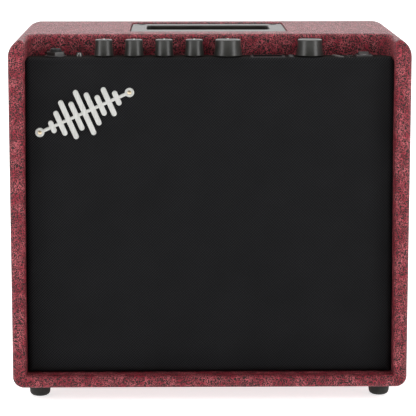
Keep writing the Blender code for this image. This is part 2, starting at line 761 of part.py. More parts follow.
def build_power_switch():
    y = at_depth(CONTROL_DEPTH)
    flange_top = PANEL_Z + 0.0016
    body_bottom = PANEL_Z - 0.0150
    half_x, half_y = SWITCH_BODY[0] / 2, SWITCH_BODY[1] / 2
    housing = simple("switch_housing", "black_plastic", lambda mesh: add_box(
        mesh, (SWITCH_X - half_x, y - half_y, body_bottom), (SWITCH_X + half_x, y + half_y, PANEL_Z + 0.0010)
    ))
    flange = bmesh.new()
    flange_x, flange_y = SWITCH_FLANGE[0] / 2, SWITCH_FLANGE[1] / 2
    add_prism(
        flange,
        rectangle(SWITCH_X - flange_x, y - flange_y, SWITCH_X + flange_x, y + flange_y, (0.0012,) * 4),
        PANEL_Z + GAP,
        flange_top,
    )
    boolean(housing, flange, "UNION")
    well = bmesh.new()
    room = 0.0007
    well_x, well_y = ROCKER_SIZE[0] / 2 + room, ROCKER_SIZE[1] / 2 + room
    well_floor = PANEL_Z - 0.0090
    well_low = (SWITCH_X - well_x, y - well_y, well_floor)
    add_box(well, well_low, (SWITCH_X + well_x, y + well_y, PANEL_Z + 0.010))
    boolean(housing, well, "DIFFERENCE")

    half = ROCKER_SIZE[1] / 2
    crown = 0.0026
    outline = [(-half, -0.0030), (half, -0.0030), (half, crown), (0, crown - 0.0008), (-half, crown)]
    mesh = bmesh.new()
    add_prism(mesh, outline, -ROCKER_SIZE[0] / 2, ROCKER_SIZE[0] / 2, SIDEWAYS)
    make(
        "switch_rocker", mesh, "black_plastic",
        location=(SWITCH_X, y, ROCKER_PIVOT_Z), rotation=(ROCKER_TILT, 0, 0), smooth=False,
    )


# ---------------------------------------------------------------- driver


def build_driver():
    """The loudspeaker, built about its axis: profiles are (radius, depth)."""
    axis = pivot("driver_axis", (0, FRONT_Y, DRIVER_Z))
    steps = 32

    def turned(name, material, profile, parent=axis, count=steps):
        mesh = bmesh.new()
        add_turned(mesh, profile, count, frame=BACKWARD)
        return make(name, mesh, material, parent=parent)

    flange = FLANGE_FRONT
    sheet = 0.0012
    step, hub, hub_hole = 0.0670, 0.0757, 0.0165
    basket = turned("speaker_basket", "sheet_steel", [
        (0.0835, flange), (FLANGE_RADIUS, flange), (FLANGE_RADIUS, flange + sheet), (0.0905, flange + sheet),
        (0.0620, 0.0640), (0.0500, step + sheet), (0.0480, hub), (hub_hole, hub), (hub_hole, hub - sheet),
        (0.0468, hub - sheet), (0.0485, step), (0.0610, 0.0628),
        (0.0885, flange + sheet), (0.0835, flange + sheet),
    ])
    windows = bmesh.new()
    for i in range(6):
        turn = Matrix.Translation((0, FRONT_Y, DRIVER_Z)) @ Matrix.Rotation(i * pi / 3 + pi / 6, 4, "Y")
        outline = ((0.0660, -0.0140), (0.0860, -0.0240), (0.0860, 0.0240), (0.0660, 0.0140))
        add_prism(windows, outline, 0.0400, 0.0700, turn @ BACKWARD)
    boolean(basket, windows, "DIFFERENCE")

    foot_front = flange - GAP - 0.0007
    roll = 0.0050
    rubber = 0.0007
    middle = 0.0785
    outer = arc(middle, foot_front, roll, 0, -pi, 6)
    inner = arc(middle, foot_front + rubber, roll - rubber, -pi, 0, 6)
    turned("speaker_surround", "rubber", (
        [(0.0905, foot_front + rubber), (0.0905, foot_front)] + outer
        + [(0.0725, foot_front), (0.0725, foot_front + rubber)] + inner
    ), count=28)

    paper = 0.0007
    rim_depth = foot_front + rubber + GAP
    neck_radius, neck_depth = COIL_RADIUS + 0.0012, 0.0640
    middle_radius, middle_depth = 0.0450, 0.0510
    moving = pivot("cone_travel", (0, 0, 0))
    moving.parent = axis
    turned("speaker_cone", "paper_cone", [
        (0.0765, rim_depth), (0.0765, rim_depth + paper), (0.0722, rim_depth + paper),
        (middle_radius, middle_depth + paper), (neck_radius, neck_depth + paper), (neck_radius, neck_depth),
        (middle_radius, middle_depth), (0.0720, rim_depth),
    ], moving)
    cap_radius = 0.0230
    down_cone = (middle_radius - cap_radius) / (middle_radius - COIL_RADIUS)
    cap_rim = middle_depth + down_cone * (neck_depth - middle_depth) - GAP - 0.0006
    cap_rise = 0.0080
    sphere = (cap_radius**2 + cap_rise**2) / (2 * cap_rise)
    heights = [cap_radius * (1 - (i / 5) ** 1.5) for i in range(1, 6)]
    dome = [(r, cap_rim - (sqrt(sphere**2 - r**2) - (sphere - cap_rise))) for r in [cap_radius] + heights]
    turned("dust_cap", "paper_cone", [(r, d + paper) for r, d in dome[::-1]] + dome, moving, 24)
    former, winding = 0.0003, 0.0006
    coil_front, winding_front, coil_back = 0.0600, 0.0780, 0.0860
    turned("voice_coil", "copper", [
        (COIL_RADIUS - former, coil_front), (COIL_RADIUS + former, coil_front),
        (COIL_RADIUS + former, winding_front), (COIL_RADIUS + winding, winding_front),
        (COIL_RADIUS + winding, coil_back), (COIL_RADIUS - former, coil_back),
    ], moving, 20)

    folds = 4
    start, end = 0.0152, 0.0440
    seat, fold_height, skin, foot_radius = 0.0663, 0.0014, 0.0005, 0.0480
    crests = [
        (start + (end - start) * i / (2 * folds), seat - (fold_height if i % 2 else 0))
        for i in range(2 * folds + 1)
    ]
    turned("spider", "copper", (
        crests + [(foot_radius, seat), (foot_radius, seat - skin)] + [(r, d - skin) for r, d in crests[::-1]]
    ), count=20)

    def washer(name, material, inner, outer, front, thickness):
        back = front + thickness
        turned(name, material, [(inner, front), (outer, front), (outer, back), (inner, back)], count=28)

    gap_radius, plate_front, plate_thickness, magnet_thickness = COIL_RADIUS + 0.0012, 0.0760, 0.0060, 0.0150
    washer("speaker_top_plate", "sheet_steel", gap_radius, 0.0425, plate_front, plate_thickness)
    magnet_front = plate_front + plate_thickness + GAP
    washer("speaker_magnet", "magnet_ferrite", 0.0220, 0.0500, magnet_front, magnet_thickness)
    disc_front = magnet_front + magnet_thickness + GAP
    pole_radius, disc_radius, disc_back = COIL_RADIUS - 0.0010, 0.0450, disc_front + 0.0060
    turned("speaker_yoke", "sheet_steel", [
        (0, 0.0765), (pole_radius, 0.0765), (pole_radius, disc_front), (disc_radius, disc_front),
        (disc_radius, disc_back), (0, disc_back),
    ], count=28)


# ---------------------------------------------------------------- mains side


def build_power_inlet():
    """A panel-mounted mains inlet whose three pins stand short of its mouth."""
    face = BACK_FRONT + BACK_THICKNESS + GAP
    flange_back = face + 0.0020
    half_x, half_z = INLET_FLANGE[0] / 2, INLET_FLANGE[1] / 2
    inlet = simple("power_inlet", "black_plastic", lambda mesh: add_prism(
        mesh,
        rectangle(INLET_X - half_x, INLET_Z - half_z, INLET_X + half_x, INLET_Z + half_z, (0.002,) * 4),
        at_depth(face),
        at_depth(flange_back),
        BACKWARD,
    ))
    body = bmesh.new()
    half_x, half_z = INLET_BODY[0] / 2, INLET_BODY[1] / 2
    front = flange_back - INLET_LENGTH
    add_box(
        body,
        (INLET_X - half_x, at_depth(front), INLET_Z - half_z),
        (INLET_X + half_x, at_depth(face + 0.001), INLET_Z + half_z),
    )
    boolean(inlet, body, "UNION")
    cavity = bmesh.new()
    half_x, half_z = INLET_CAVITY[0] / 2, INLET_CAVITY[1] / 2
    floor = front + 0.0050
    keyed = (0, 0, 0.005, 0.005)
    add_prism(
        cavity,
        rectangle(INLET_X - half_x, INLET_Z - half_z, INLET_X + half_x, INLET_Z + half_z, keyed, steps=1),
        at_depth(floor),
        at_depth(flange_back + 0.010),
        BACKWARD,
    )
    boolean(inlet, cavity, "DIFFERENCE")
    pins = bmesh.new()
    pin_end = flange_back - 0.0060
    pin_x, pin_z = 0.0010, 0.0020
    for step, rise in ((-1, -0.0020), (0, 0.0020), (1, -0.0020)):
        x, z = INLET_X + step * PIN_STEP, INLET_Z + rise
        add_box(pins, (x - pin_x, at_depth(floor - 0.001), z - pin_z), (x + pin_x, at_depth(pin_end), z + pin_z))
    boolean(inlet, pins, "UNION")


def build_power_transformer():
    """A laminated core with its winding, on a base plate screwed to the cabinet's floor."""
    x, y = 0.0950, at_depth(0.1560)
    base = FLOOR_Z + GAP
    core = simple("power_transformer", "sheet_steel", lambda mesh: add_box(
        mesh, (x - 0.0400, y - 0.0160, base), (x + 0.0400, y + 0.0160, base + 0.0015)
    ))
    stack = bmesh.new()
    add_box(stack, (x - 0.0285, y - 0.0120, base + 0.0010), (x + 0.0285, y + 0.0120, base + 0.0480))
    boolean(core, stack, "UNION")
    winding = bmesh.new()
    add_box(winding, (x - 0.0190, y - 0.0200, base + 0.0100), (x + 0.0190, y + 0.0200, base + 0.0390))
    boolean(core, winding, "UNION")


def build_amplifier_board():
    """The power supply and output board on the cabinet's floor, with its reservoir capacitors."""
    low = (-0.1400, at_depth(0.1240), FLOOR_Z + 0.0060)
    high = (-0.0300, at_depth(0.1740), FLOOR_Z + 0.0060 + BOARD_THICKNESS)
    board = simple("amplifier_board", "circuit_board", lambda mesh: add_box(mesh, low, high))
    posts = bmesh.new()
    for x in (low[0] + 0.006, high[0] - 0.006):
        for y in (low[1] + 0.006, high[1] - 0.006):
            add_prism(posts, circle(0.0030, 8, x, y), FLOOR_Z + GAP, low[2] + 0.0005)
    boolean(board, posts, "UNION")
    parts = bmesh.new()
    root = high[2] - 0.0005
    for x in (-0.1240, -0.1020):
        add_prism(parts, circle(0.0090, 16, x, at_depth(0.1490)), root, root + 0.0300)
    add_box(parts, (-0.0800, at_depth(0.1380), root), (-0.0480, at_depth(0.1620), root + 0.0220))
    boolean(board, parts, "UNION")


def clear_scene():
    for old in list(bpy.data.objects):
        bpy.data.objects.remove(old)


def main():
    clear_scene()
    build_shell()
    build_baffle()
    build_grille()
    build_back_panel()
    build_feet()
    build_badge()
    build_handle()
    build_control_panel()
    build_tray()
    build_main_board()
    build_rotary_controls()
    build_display()
    build_buttons()
    build_input_jack()
    build_small_sockets()
    build_power_switch()
    build_driver()
    build_power_inlet()
    build_power_transformer()
    build_amplifier_board()


main()
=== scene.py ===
"""The looks of a practice guitar amplifier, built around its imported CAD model.

Everything is in metres in the CAD frame: +Z up, the front faces -Y, the origin is on the floor.
A "depth" is a distance back from the cabinet's front edge. Sizes come from the CAD nodes' boxes.
"""

import json
from math import cos, pi, radians, sin, sqrt

import bmesh
import bpy
from mathutils import Matrix, Vector
from mathutils.bvhtree import BVHTree


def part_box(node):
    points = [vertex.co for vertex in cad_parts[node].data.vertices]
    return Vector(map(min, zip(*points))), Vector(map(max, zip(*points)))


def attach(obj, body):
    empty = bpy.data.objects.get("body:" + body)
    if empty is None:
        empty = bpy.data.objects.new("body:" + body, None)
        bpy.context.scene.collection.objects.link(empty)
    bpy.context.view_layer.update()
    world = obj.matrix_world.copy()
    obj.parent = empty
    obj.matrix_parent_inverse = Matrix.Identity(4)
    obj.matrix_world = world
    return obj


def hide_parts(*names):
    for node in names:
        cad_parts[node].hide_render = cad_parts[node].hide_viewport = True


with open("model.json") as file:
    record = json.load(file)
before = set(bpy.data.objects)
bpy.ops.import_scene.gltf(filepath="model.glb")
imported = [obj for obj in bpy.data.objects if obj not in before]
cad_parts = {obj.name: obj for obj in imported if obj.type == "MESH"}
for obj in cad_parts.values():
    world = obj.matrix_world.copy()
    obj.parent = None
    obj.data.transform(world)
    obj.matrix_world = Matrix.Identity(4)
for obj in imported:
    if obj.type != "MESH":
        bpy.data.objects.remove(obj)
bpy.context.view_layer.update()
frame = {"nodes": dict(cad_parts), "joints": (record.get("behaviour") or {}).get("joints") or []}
ROOT = "cabinet"
GAP = 0.0003  # between pieces that touch
WELD = 1e-6
SMALLEST_RADIUS = 0.00005

# Driving places, all read from the CAD nodes
SHELL_LOW, SHELL_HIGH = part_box("cabinet_shell")
FRONT_Y, BACK_Y = SHELL_LOW.y, SHELL_HIGH.y
WIDTH, TOP_Z, BOTTOM_Z = SHELL_HIGH.x - SHELL_LOW.x, SHELL_HIGH.z, SHELL_LOW.z
BACK_LOW, BACK_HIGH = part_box("back_panel")
INNER_X = BACK_HIGH.x + GAP
FLOOR_Z = BACK_LOW.z - GAP
CEILING_Z = BACK_HIGH.z + GAP
PANEL_LOW, PANEL_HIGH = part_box("control_panel")
PANEL_Z = PANEL_HIGH.z
RECESS_BACK_Y = PANEL_HIGH.y + 0.0005
RECESS_HALF_X = PANEL_HIGH.x + 0.0006

# Covering
EDGE_RADIUS = 0.0040
TOP_CORNER_RADIUS = 0.017
BOTTOM_CORNER_RADIUS = 0.010
RECESS_CORNER_RADIUS = 0.015
RECESS_BOARD = 0.012
WALL_CUTS = (0.0008, 0.0016, 0.0024, 0.0032, 0.0040, 0.0050, 0.0060, 0.0072, 0.0084, 0.0096, 0.0110)

# ---------------------------------------------------------------- outlines


def placing(node):
    """A CAD node's lowest and highest corners, and the x and y of its middle."""
    low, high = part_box(node)
    return low, high, (low.x + high.x) / 2, (low.y + high.y) / 2


def arc(cx, cy, radius, start, end, steps):
    """Points along an arc, its ends included."""
    angles = [start + (end - start) * i / steps for i in range(steps + 1)]
    return [(cx + radius * cos(a), cy + radius * sin(a)) for a in angles]


def circle(radius, steps=48, cx=0.0, cy=0.0, turn=0.0):
    return arc(cx, cy, radius, turn, turn + 2 * pi, steps)[:-1]


def rectangle(x0, y0, x1, y1, radii=(0, 0, 0, 0), steps=6):
    """A counter-clockwise rectangle whose corners (x0y0, x1y0, x1y1, x0y1) may be rounded."""
    corners = ((x0, y0, 1, 1, pi), (x1, y0, -1, 1, 1.5 * pi), (x1, y1, -1, -1, 0), (x0, y1, 1, -1, 0.5 * pi))
    points = []
    for (x, y, sx, sy, start), radius in zip(corners, radii):
        if radius:
            points += arc(x + sx * radius, y + sy * radius, radius, start, start + pi / 2, steps)
        else:
            points.append((x, y))
    return points


def filleted(points, steps=4):
    """A closed outline from (x, y, radius) corners, each rounded by its radius."""
    outline = []
    count = len(points)
    for i, (x, y, radius) in enumerate(points):
        here = Vector((x, y))
        if not radius:
            outline.append((x, y))
            continue
        back = (Vector(points[i - 1][:2]) - here).normalized()
        ahead = (Vector(points[(i + 1) % count][:2]) - here).normalized()
        half = back.angle(ahead) / 2
        middle = here + (back + ahead).normalized() * (radius / sin(half))
        reach = radius * cos(half) / sin(half)
        first = here + back * reach - middle
        last = here + ahead * reach - middle
        for step in range(steps + 1):
            way = first.slerp(last, step / steps)
            outline.append(tuple(middle + way.normalized() * radius))
    return outline


def round_rectangle(x0, y0, x1, y1, radius, steps=6):
    """A function that gives the rounded rectangle drawn in by some inset."""
    def at(inset):
        corner = max(radius - inset, SMALLEST_RADIUS)
        return rectangle(x0 + inset, y0 + inset, x1 - inset, y1 - inset, (corner,) * 4, steps)
    return at


def round_disc(radius, steps=48, cx=0.0, cy=0.0):
    return lambda inset: circle(radius - inset, steps, cx, cy)


# ---------------------------------------------------------------- mesh building

UP = Matrix.Identity(4)  # u, v, w are x, y, z
BACKWARD = Matrix(((1, 0, 0, 0), (0, 0, 1, 0), (0, 1, 0, 0), (0, 0, 0, 1)))  # u, v are x, z and w is y
SIDEWAYS = Matrix(((0, 0, 1, 0), (1, 0, 0, 0), (0, 1, 0, 0), (0, 0, 0, 1)))  # u, v are y, z and w is x


def add_loft(mesh, rings):
    """Adds a closed solid through rings of points with equal counts."""
    made = [[mesh.verts.new(p) for p in ring] for ring in rings]
    count = len(made[0])
    for low, high in zip(made, made[1:]):
        for i in range(count):
            j = (i + 1) % count
            mesh.faces.new((low[i], low[j], high[j], high[i]))
    mesh.faces.new(made[0][::-1])
    mesh.faces.new(made[-1])


def placed(outline, w, matrix=UP):
    return [matrix @ Vector((u, v, w)) for u, v in outline]


def add_prism(mesh, outline, low, high, matrix=UP):
    add_loft(mesh, [placed(outline, low, matrix), placed(outline, high, matrix)])


def add_box(mesh, low, high):
    add_prism(mesh, rectangle(low[0], low[1], high[0], high[1]), low[2], high[2])


def add_rounded(mesh, outline_at, low, high, low_radius=0.0, high_radius=0.0, matrix=UP, steps=4):
    """Adds a prism whose end edges are rounded. outline_at(inset) gives its outline drawn in."""
    rings = []
    for i in range(steps + 1 if low_radius else 1):
        turn = pi / 2 * i / steps
        inset = low_radius * (1 - sin(turn))
        rings.append(placed(outline_at(inset), low + low_radius * (1 - cos(turn)), matrix))
    for i in range(steps if high_radius else 0, -1, -1):
        turn = pi / 2 * i / steps
        inset = high_radius * (1 - sin(turn))
        rings.append(placed(outline_at(inset), high - high_radius * (1 - cos(turn)), matrix))
    add_loft(mesh, rings)


def add_turned(mesh, profile, steps=48, centre=(0, 0), matrix=UP):
    """Adds a solid turned about the third axis from a closed profile of (radius, height) points."""
    on_axis = 1e-7
    columns = []
    for radius, height in profile:
        if radius < on_axis:
            columns.append([mesh.verts.new(matrix @ Vector((centre[0], centre[1], height)))] * steps)
            continue
        ring = circle(radius, steps)
        points = [Vector((centre[0] + u, centre[1] + v, height)) for u, v in ring]
        columns.append([mesh.verts.new(matrix @ p) for p in points])
    for here, there in zip(columns, columns[1:] + columns[:1]):
        if here[0] is here[1] and there[0] is there[1]:
            continue
        for j in range(steps):
            k = (j + 1) % steps
            mesh.faces.new(tuple(dict.fromkeys((here[j], here[k], there[k], there[j]))))


def linked(name, data):
    made = bpy.data.objects.new(name, data)
    bpy.context.scene.collection.objects.link(made)
    return made


def object_of(name, mesh):
    """Turns a bmesh into a linked object, with its doubled points merged."""
    bmesh.ops.remove_doubles(mesh, verts=mesh.verts, dist=WELD)
    bmesh.ops.recalc_face_normals(mesh, faces=mesh.faces)
    data = bpy.data.meshes.new(name)
    mesh.to_mesh(data)
    mesh.free()
    return linked(name, data)


def carve(target, mesh, operation="DIFFERENCE"):
    """Applies a Boolean with a bmesh to an object at once."""
    tool = object_of("tool", mesh)
    step = target.modifiers.new("Carve", "BOOLEAN")
    step.operation = operation
    step.solver = "EXACT"
    step.object = tool
    apply_modifiers(target)
    bpy.data.objects.remove(tool)


def apply_modifiers(target):
    graph = bpy.context.evaluated_depsgraph_get()
    made = bpy.data.meshes.new_from_object(target.evaluated_get(graph))
    target.modifiers.clear()
    target.data = made


def finish_piece(piece, material, body=ROOT, node=None, angle=35):
    """Shades a piece, gives it its material, ties it to its CAD body and hides the node that it replaces."""
    piece.data.materials.append(material)
    piece.data.shade_smooth()
    piece.data.set_sharp_from_angle(angle=radians(angle))
    normals = piece.modifiers.new("Flat faces stay flat", "WEIGHTED_NORMAL")
    normals.keep_sharp = True
    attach(piece, body)
    if node:
        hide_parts(node)


# ---------------------------------------------------------------- materials


class Finish:
    """A Principled material with shorthand for the nodes that feed it."""

    def __init__(self, name, colour, roughness, metallic=0.0, **sockets):
        self.material = bpy.data.materials.new(name)
        self.material.use_nodes = True
        self.tree = self.material.node_tree
        self.shader = self.tree.nodes["Principled BSDF"]
        self.shader.inputs["Base Color"].default_value = (*colour, 1)
        self.shader.inputs["Roughness"].default_value = roughness
        self.shader.inputs["Metallic"].default_value = metallic
        for socket, value in sockets.items():
            self.shader.inputs[socket.replace("_", " ")].default_value = value
        self.place = self.node("ShaderNodeTexCoord").outputs["Object"]

    def node(self, kind, inputs=(), **settings):
        made = self.tree.nodes.new(kind)
        for key, value in settings.items():
            setattr(made, key, value)
        for key, value in dict(inputs).items():
            if isinstance(value, bpy.types.NodeSocket):
                self.tree.links.new(value, made.inputs[key])
            else:
                made.inputs[key].default_value = value
        return made

    def math(self, operation, a, b=0.0, clamp=False):
        return self.node("ShaderNodeMath", {0: a, 1: b}, operation=operation, use_clamp=clamp).outputs[0]

    def noise(self, scale, detail=2.0, roughness=0.5, place=None):
        inputs = {"Vector": place or self.place, "Scale": scale, "Detail": detail, "Roughness": roughness}
        return self.node("ShaderNodeTexNoise", inputs).outputs["Fac"]

    def scaled(self, place, scale):
        """A place with each axis scaled, so that a texture turns into streaks."""
        return self.node("ShaderNodeVectorMath", {0: place, 1: scale}, operation="MULTIPLY").outputs[0]

    def warped(self, scale, reach):
        """The place pushed about by noise, so that a texture's cells aren't regular."""
        noise = self.node("ShaderNodeTexNoise", {"Vector": self.place, "Scale": scale, "Detail": 2.0})
        centred = self.node(
            "ShaderNodeVectorMath", {0: noise.outputs["Color"], 1: (0.5, 0.5, 0.5)}, operation="SUBTRACT"
        )
        push = self.node("ShaderNodeVectorMath", {0: centred.outputs[0], "Scale": reach}, operation="SCALE")
        return self.node(
            "ShaderNodeVectorMath", {0: self.place, 1: push.outputs[0]}, operation="ADD"
        ).outputs[0]

    def waves(self, direction, period, place=None):
        """A sine from -1 to 1 along a direction."""
        length = sqrt(sum(d * d for d in direction))
        along = tuple(2 * pi * d / length / period for d in direction)
        dot = self.node("ShaderNodeVectorMath", {0: place or self.place, 1: along}, operation="DOT_PRODUCT")
        return self.math("SINE", dot.outputs["Value"])

    def ranged(self, value, low, high, to_low=0.0, to_high=1.0):
        inputs = {"Value": value, "From Min": low, "From Max": high, "To Min": to_low, "To Max": to_high}
        return self.node("ShaderNodeMapRange", inputs).outputs["Result"]

    def mixed(self, factor, first, second):
        """A colour between two, each a tuple or a socket."""
        made = self.node("ShaderNodeMix", data_type="RGBA")
        for index, value in ((0, factor), (6, first), (7, second)):
            if isinstance(value, bpy.types.NodeSocket):
                self.tree.links.new(value, made.inputs[index])
            else:
                made.inputs[index].default_value = value if index == 0 else (*value, 1)
        return made.outputs[2]

    def colour(self, socket):
        self.tree.links.new(socket, self.shader.inputs["Base Color"])

    def roughness(self, socket):
        self.tree.links.new(socket, self.shader.inputs["Roughness"])

    def bump(self, height, distance, strength=1.0):
        made = self.node("ShaderNodeBump", {"Height": height, "Distance": distance, "Strength": strength})
        self.tree.links.new(made.outputs["Normal"], self.shader.inputs["Normal"])


def vinyl():
    """Burgundy covering: a tangle of crimson wrinkles whose crests carry a painted pink highlight in patches,
    with charcoal in the pits between them, partly the covering's own dark finish and partly painted shade.
    """
    finish = Finish("burgundy_vinyl", (0.2, 0.05, 0.06), 0.5, Specular_IOR_Level=0.28)
    swirl = finish.warped(140, 0.0032)
    lying = finish.noise(740, 2.0, 0.5, finish.scaled(swirl, (0.6, 1.0, 1.0)))
    standing = finish.noise(740, 2.0, 0.5, finish.scaled(swirl, (1.0, 0.8, 0.6)))
    choice = finish.ranged(finish.noise(120, 1.0), 0.46, 0.54)
    grain = finish.math("ADD", finish.math("MULTIPLY", lying, choice),
                        finish.math("MULTIPLY", standing, finish.math("SUBTRACT", 1.0, choice)))
    away = finish.math("ABSOLUTE", finish.math("SUBTRACT", grain, 0.5))
    wrinkle = finish.ranged(away, 0.0, 0.085, 1.0, 0.0)
    speck = finish.ranged(finish.noise(2700, 2.0, 0.6), 0.3, 0.7, -0.14, 0.14)
    height = finish.math("ADD", wrinkle, speck)
    # Random patches where the crests' painted highlight goes from crimson to pale pink.
    crest_highlight_patches = finish.ranged(finish.noise(110, 3.0, 0.6), 0.40, 0.62)
    crest = finish.mixed(crest_highlight_patches, (0.320, 0.015, 0.036), (0.520, 0.115, 0.135))
    # The slopes darken towards the pits: partly the covering's charcoal, partly painted shade.
    slope = finish.mixed(finish.ranged(height, 0.0, 0.40), (0.013, 0.008, 0.007), (0.100, 0.006, 0.012))
    # Crests lighter than pits, following the relief: painted highlight and painted shade.
    finish.colour(finish.mixed(finish.ranged(height, 0.38, 0.86), slope, crest))
    finish.roughness(finish.ranged(height, 0.0, 1.0, 0.58, 0.42))
    finish.bump(height, 0.00020, 0.9)
    return finish.material


def grille_weave():
    """Black woven cloth with a diagonal rib."""
    finish = Finish("grille_weave", (0.012, 0.012, 0.013), 0.9, Specular_IOR_Level=0.06)
    rib = finish.waves((1, 0, -1), 0.00165)
    cross = finish.waves((1, 0, 1), 0.00220)
    thread = finish.waves((0, 0, 1), 0.00062)
    weave = finish.math("ADD", rib, finish.math("MULTIPLY", cross, 0.35))
    weave = finish.math("ADD", weave, finish.math("MULTIPLY", thread, 0.25))
    height = finish.ranged(weave, -1.4, 1.4)
    uneven = finish.ranged(finish.noise(35, 3.0), 0.3, 0.7, 0.75, 1.0)
    # Raised threads painted lighter and the hollows between them darker: painted highlight and painted shade,
    # varied at random by uneven.
    shade = finish.math("MULTIPLY", finish.ranged(height, 0.42, 0.85), uneven)
    finish.colour(finish.mixed(shade, (0.0006, 0.0006, 0.0007), (0.027, 0.027, 0.029)))
    finish.bump(height, 0.00018, 0.6)
    return finish.material


def moulded(name, colour, roughness, grain=0.00004, specular=0.5):
    """Moulded plastic with a fine spark-eroded grain."""
    finish = Finish(name, colour, roughness, Specular_IOR_Level=specular)
    speck = finish.noise(2600, 2.0, 0.6)
    cloud = finish.noise(60, 2.0)
    lighter = tuple(min(1.0, c * 1.25 + 0.002) for c in colour)
    darker = tuple(c * 0.82 for c in colour)
    finish.colour(finish.mixed(finish.ranged(cloud, 0.35, 0.65), darker, lighter))
    finish.roughness(finish.ranged(speck, 0.3, 0.7, roughness - 0.06, roughness + 0.08))
    finish.bump(speck, grain, 0.5)
    return finish.material


def rubber():
    finish = Finish("foot_rubber", (0.018, 0.018, 0.016), 0.75, Specular_IOR_Level=0.35)
    speck = finish.noise(1500, 3.0, 0.7)
    scuff = finish.ranged(finish.noise(240, 4.0, 0.7), 0.5, 0.7)
    finish.colour(finish.mixed(scuff, (0.016, 0.016, 0.014), (0.030, 0.030, 0.027)))
    finish.bump(speck, 0.00006, 0.5)
    return finish.material


def powder_coat():
    """The control panel's fine black texture."""
    finish = Finish("powder_coat", (0.013, 0.013, 0.013), 0.75, Specular_IOR_Level=0.02)
    orange_peel = finish.noise(1400, 2.0, 0.5)
    cloud = finish.noise(30, 2.0)
    finish.colour(finish.mixed(finish.ranged(cloud, 0.3, 0.7), (0.012, 0.011, 0.010), (0.020, 0.018, 0.017)))
    finish.roughness(finish.ranged(orange_peel, 0.3, 0.7, 0.66, 0.84))
    finish.bump(orange_peel, 0.00005, 0.5)
    return finish.material


def metal(name, colour, roughness, streak, bump=0.00002):
    """Metal with streaks along one axis, which streak scales down."""
    finish = Finish(name, colour, roughness, 1.0)
    lines = finish.noise(900, 3.0, 0.6, finish.scaled(finish.place, streak))
    finish.roughness(finish.ranged(lines, 0.3, 0.7, max(roughness - 0.07, 0.02), roughness + 0.10))
    darker = tuple(c * 0.85 for c in colour)
    finish.colour(finish.mixed(finish.ranged(lines, 0.35, 0.65), darker, colour))
    finish.bump(lines, bump, 0.4)
    return finish.material


def badge_silver():
    """Satin plated zinc: pale and softly reflecting."""
    finish = Finish("badge_silver", (0.46, 0.46, 0.44), 0.40, 0.35)
    lines = finish.noise(700, 3.0, 0.6, finish.scaled(finish.place, (1.0, 1.0, 0.15)))
    finish.roughness(finish.ranged(lines, 0.3, 0.7, 0.28, 0.44))
    finish.colour(finish.mixed(finish.ranged(lines, 0.35, 0.65), (0.42, 0.42, 0.40), (0.52, 0.52, 0.50)))
    finish.bump(lines, 0.00002, 0.4)
    return finish.material


def stained_board():
    """Fibreboard stained black, with a trace of fibres."""
    finish = Finish("stained_board", (0.02, 0.018, 0.016), 0.7)
    fibres = finish.noise(420, 4.0, 0.65, finish.scaled(finish.place, (1.0, 1.0, 0.2)))
    shade = finish.ranged(fibres, 0.35, 0.68)
    finish.colour(finish.mixed(shade, (0.010, 0.009, 0.008), (0.034, 0.029, 0.025)))
    finish.bump(fibres, 0.0001, 0.5)
    return finish.material


def back_vinyl():
    """The plain black covering of the back panel."""
    finish = Finish("back_vinyl", (0.014, 0.014, 0.014), 0.55, Specular_IOR_Level=0.3)
    pebbles = finish.node(
        "ShaderNodeTexVoronoi", {"Vector": finish.warped(300, 0.002), "Scale": 620}, feature="F1"
    ).outputs["Distance"]
    height = finish.ranged(pebbles, 0.1, 0.8, 1.0, 0.0)
    finish.colour(finish.mixed(height, (0.008, 0.008, 0.008), (0.022, 0.022, 0.022)))
    finish.roughness(finish.ranged(height, 0.0, 1.0, 0.7, 0.48))
    finish.bump(height, 0.0002, 0.7)
    return finish.material


def display_glass():
    finish = Finish("display_glass", (0.006, 0.006, 0.008), 0.06, Coat_Weight=0.6, Coat_Roughness=0.03)
    smear = finish.noise(45, 3.0, 0.6)
    finish.roughness(finish.ranged(smear, 0.35, 0.7, 0.04, 0.12))
    tint = finish.ranged(finish.noise(12, 1.0), 0.3, 0.7)
    finish.colour(finish.mixed(tint, (0.005, 0.005, 0.007), (0.008, 0.008, 0.010)))
    return finish.material


def circuit_board():
    finish = Finish("circuit_board", (0.012, 0.075, 0.035), 0.38)
    tracks = finish.node(
        "ShaderNodeTexBrick",
        {"Vector": finish.place, "Scale": 60.0, "Mortar Size": 0.02,
         "Color1": (0, 0, 0, 1), "Color2": (0, 0, 0, 1), "Mortar": (1, 1, 1, 1)},
    ).outputs["Color"]
    finish.colour(finish.mixed(tracks, (0.010, 0.065, 0.030), (0.030, 0.140, 0.060)))
    finish.bump(tracks, 0.00005, 0.4)
    return finish.material


def fibre(name, dark, light, scale, roughness=0.9):
    """Pressed paper or cloth."""
    finish = Finish(name, light, roughness, Specular_IOR_Level=0.3)
    fibres = finish.noise(scale, 4.0, 0.7)
    finish.colour(finish.mixed(finish.ranged(fibres, 0.35, 0.65), dark, light))
    finish.bump(fibres, 0.0001, 0.6)
    return finish.material


def white_print():
    colour = (0.75, 0.75, 0.73)
    finish = Finish("white_print", colour, 0.5)
    speck = finish.noise(1800, 2.0)
    darker = tuple(c * 0.9 for c in colour)
    finish.colour(finish.mixed(finish.ranged(speck, 0.35, 0.65), darker, colour))
    return finish.material


def pale_floor():
    """A plain pale sweep that glows a little, so that it stays even."""
    finish = Finish("pale_floor", (0.80, 0.80, 0.80), 0.9, Specular_IOR_Level=0.0)
    finish.shader.inputs["Emission Color"].default_value = (1, 1, 1, 1)
    finish.shader.inputs["Emission Strength"].default_value = 0.72
    return finish.material


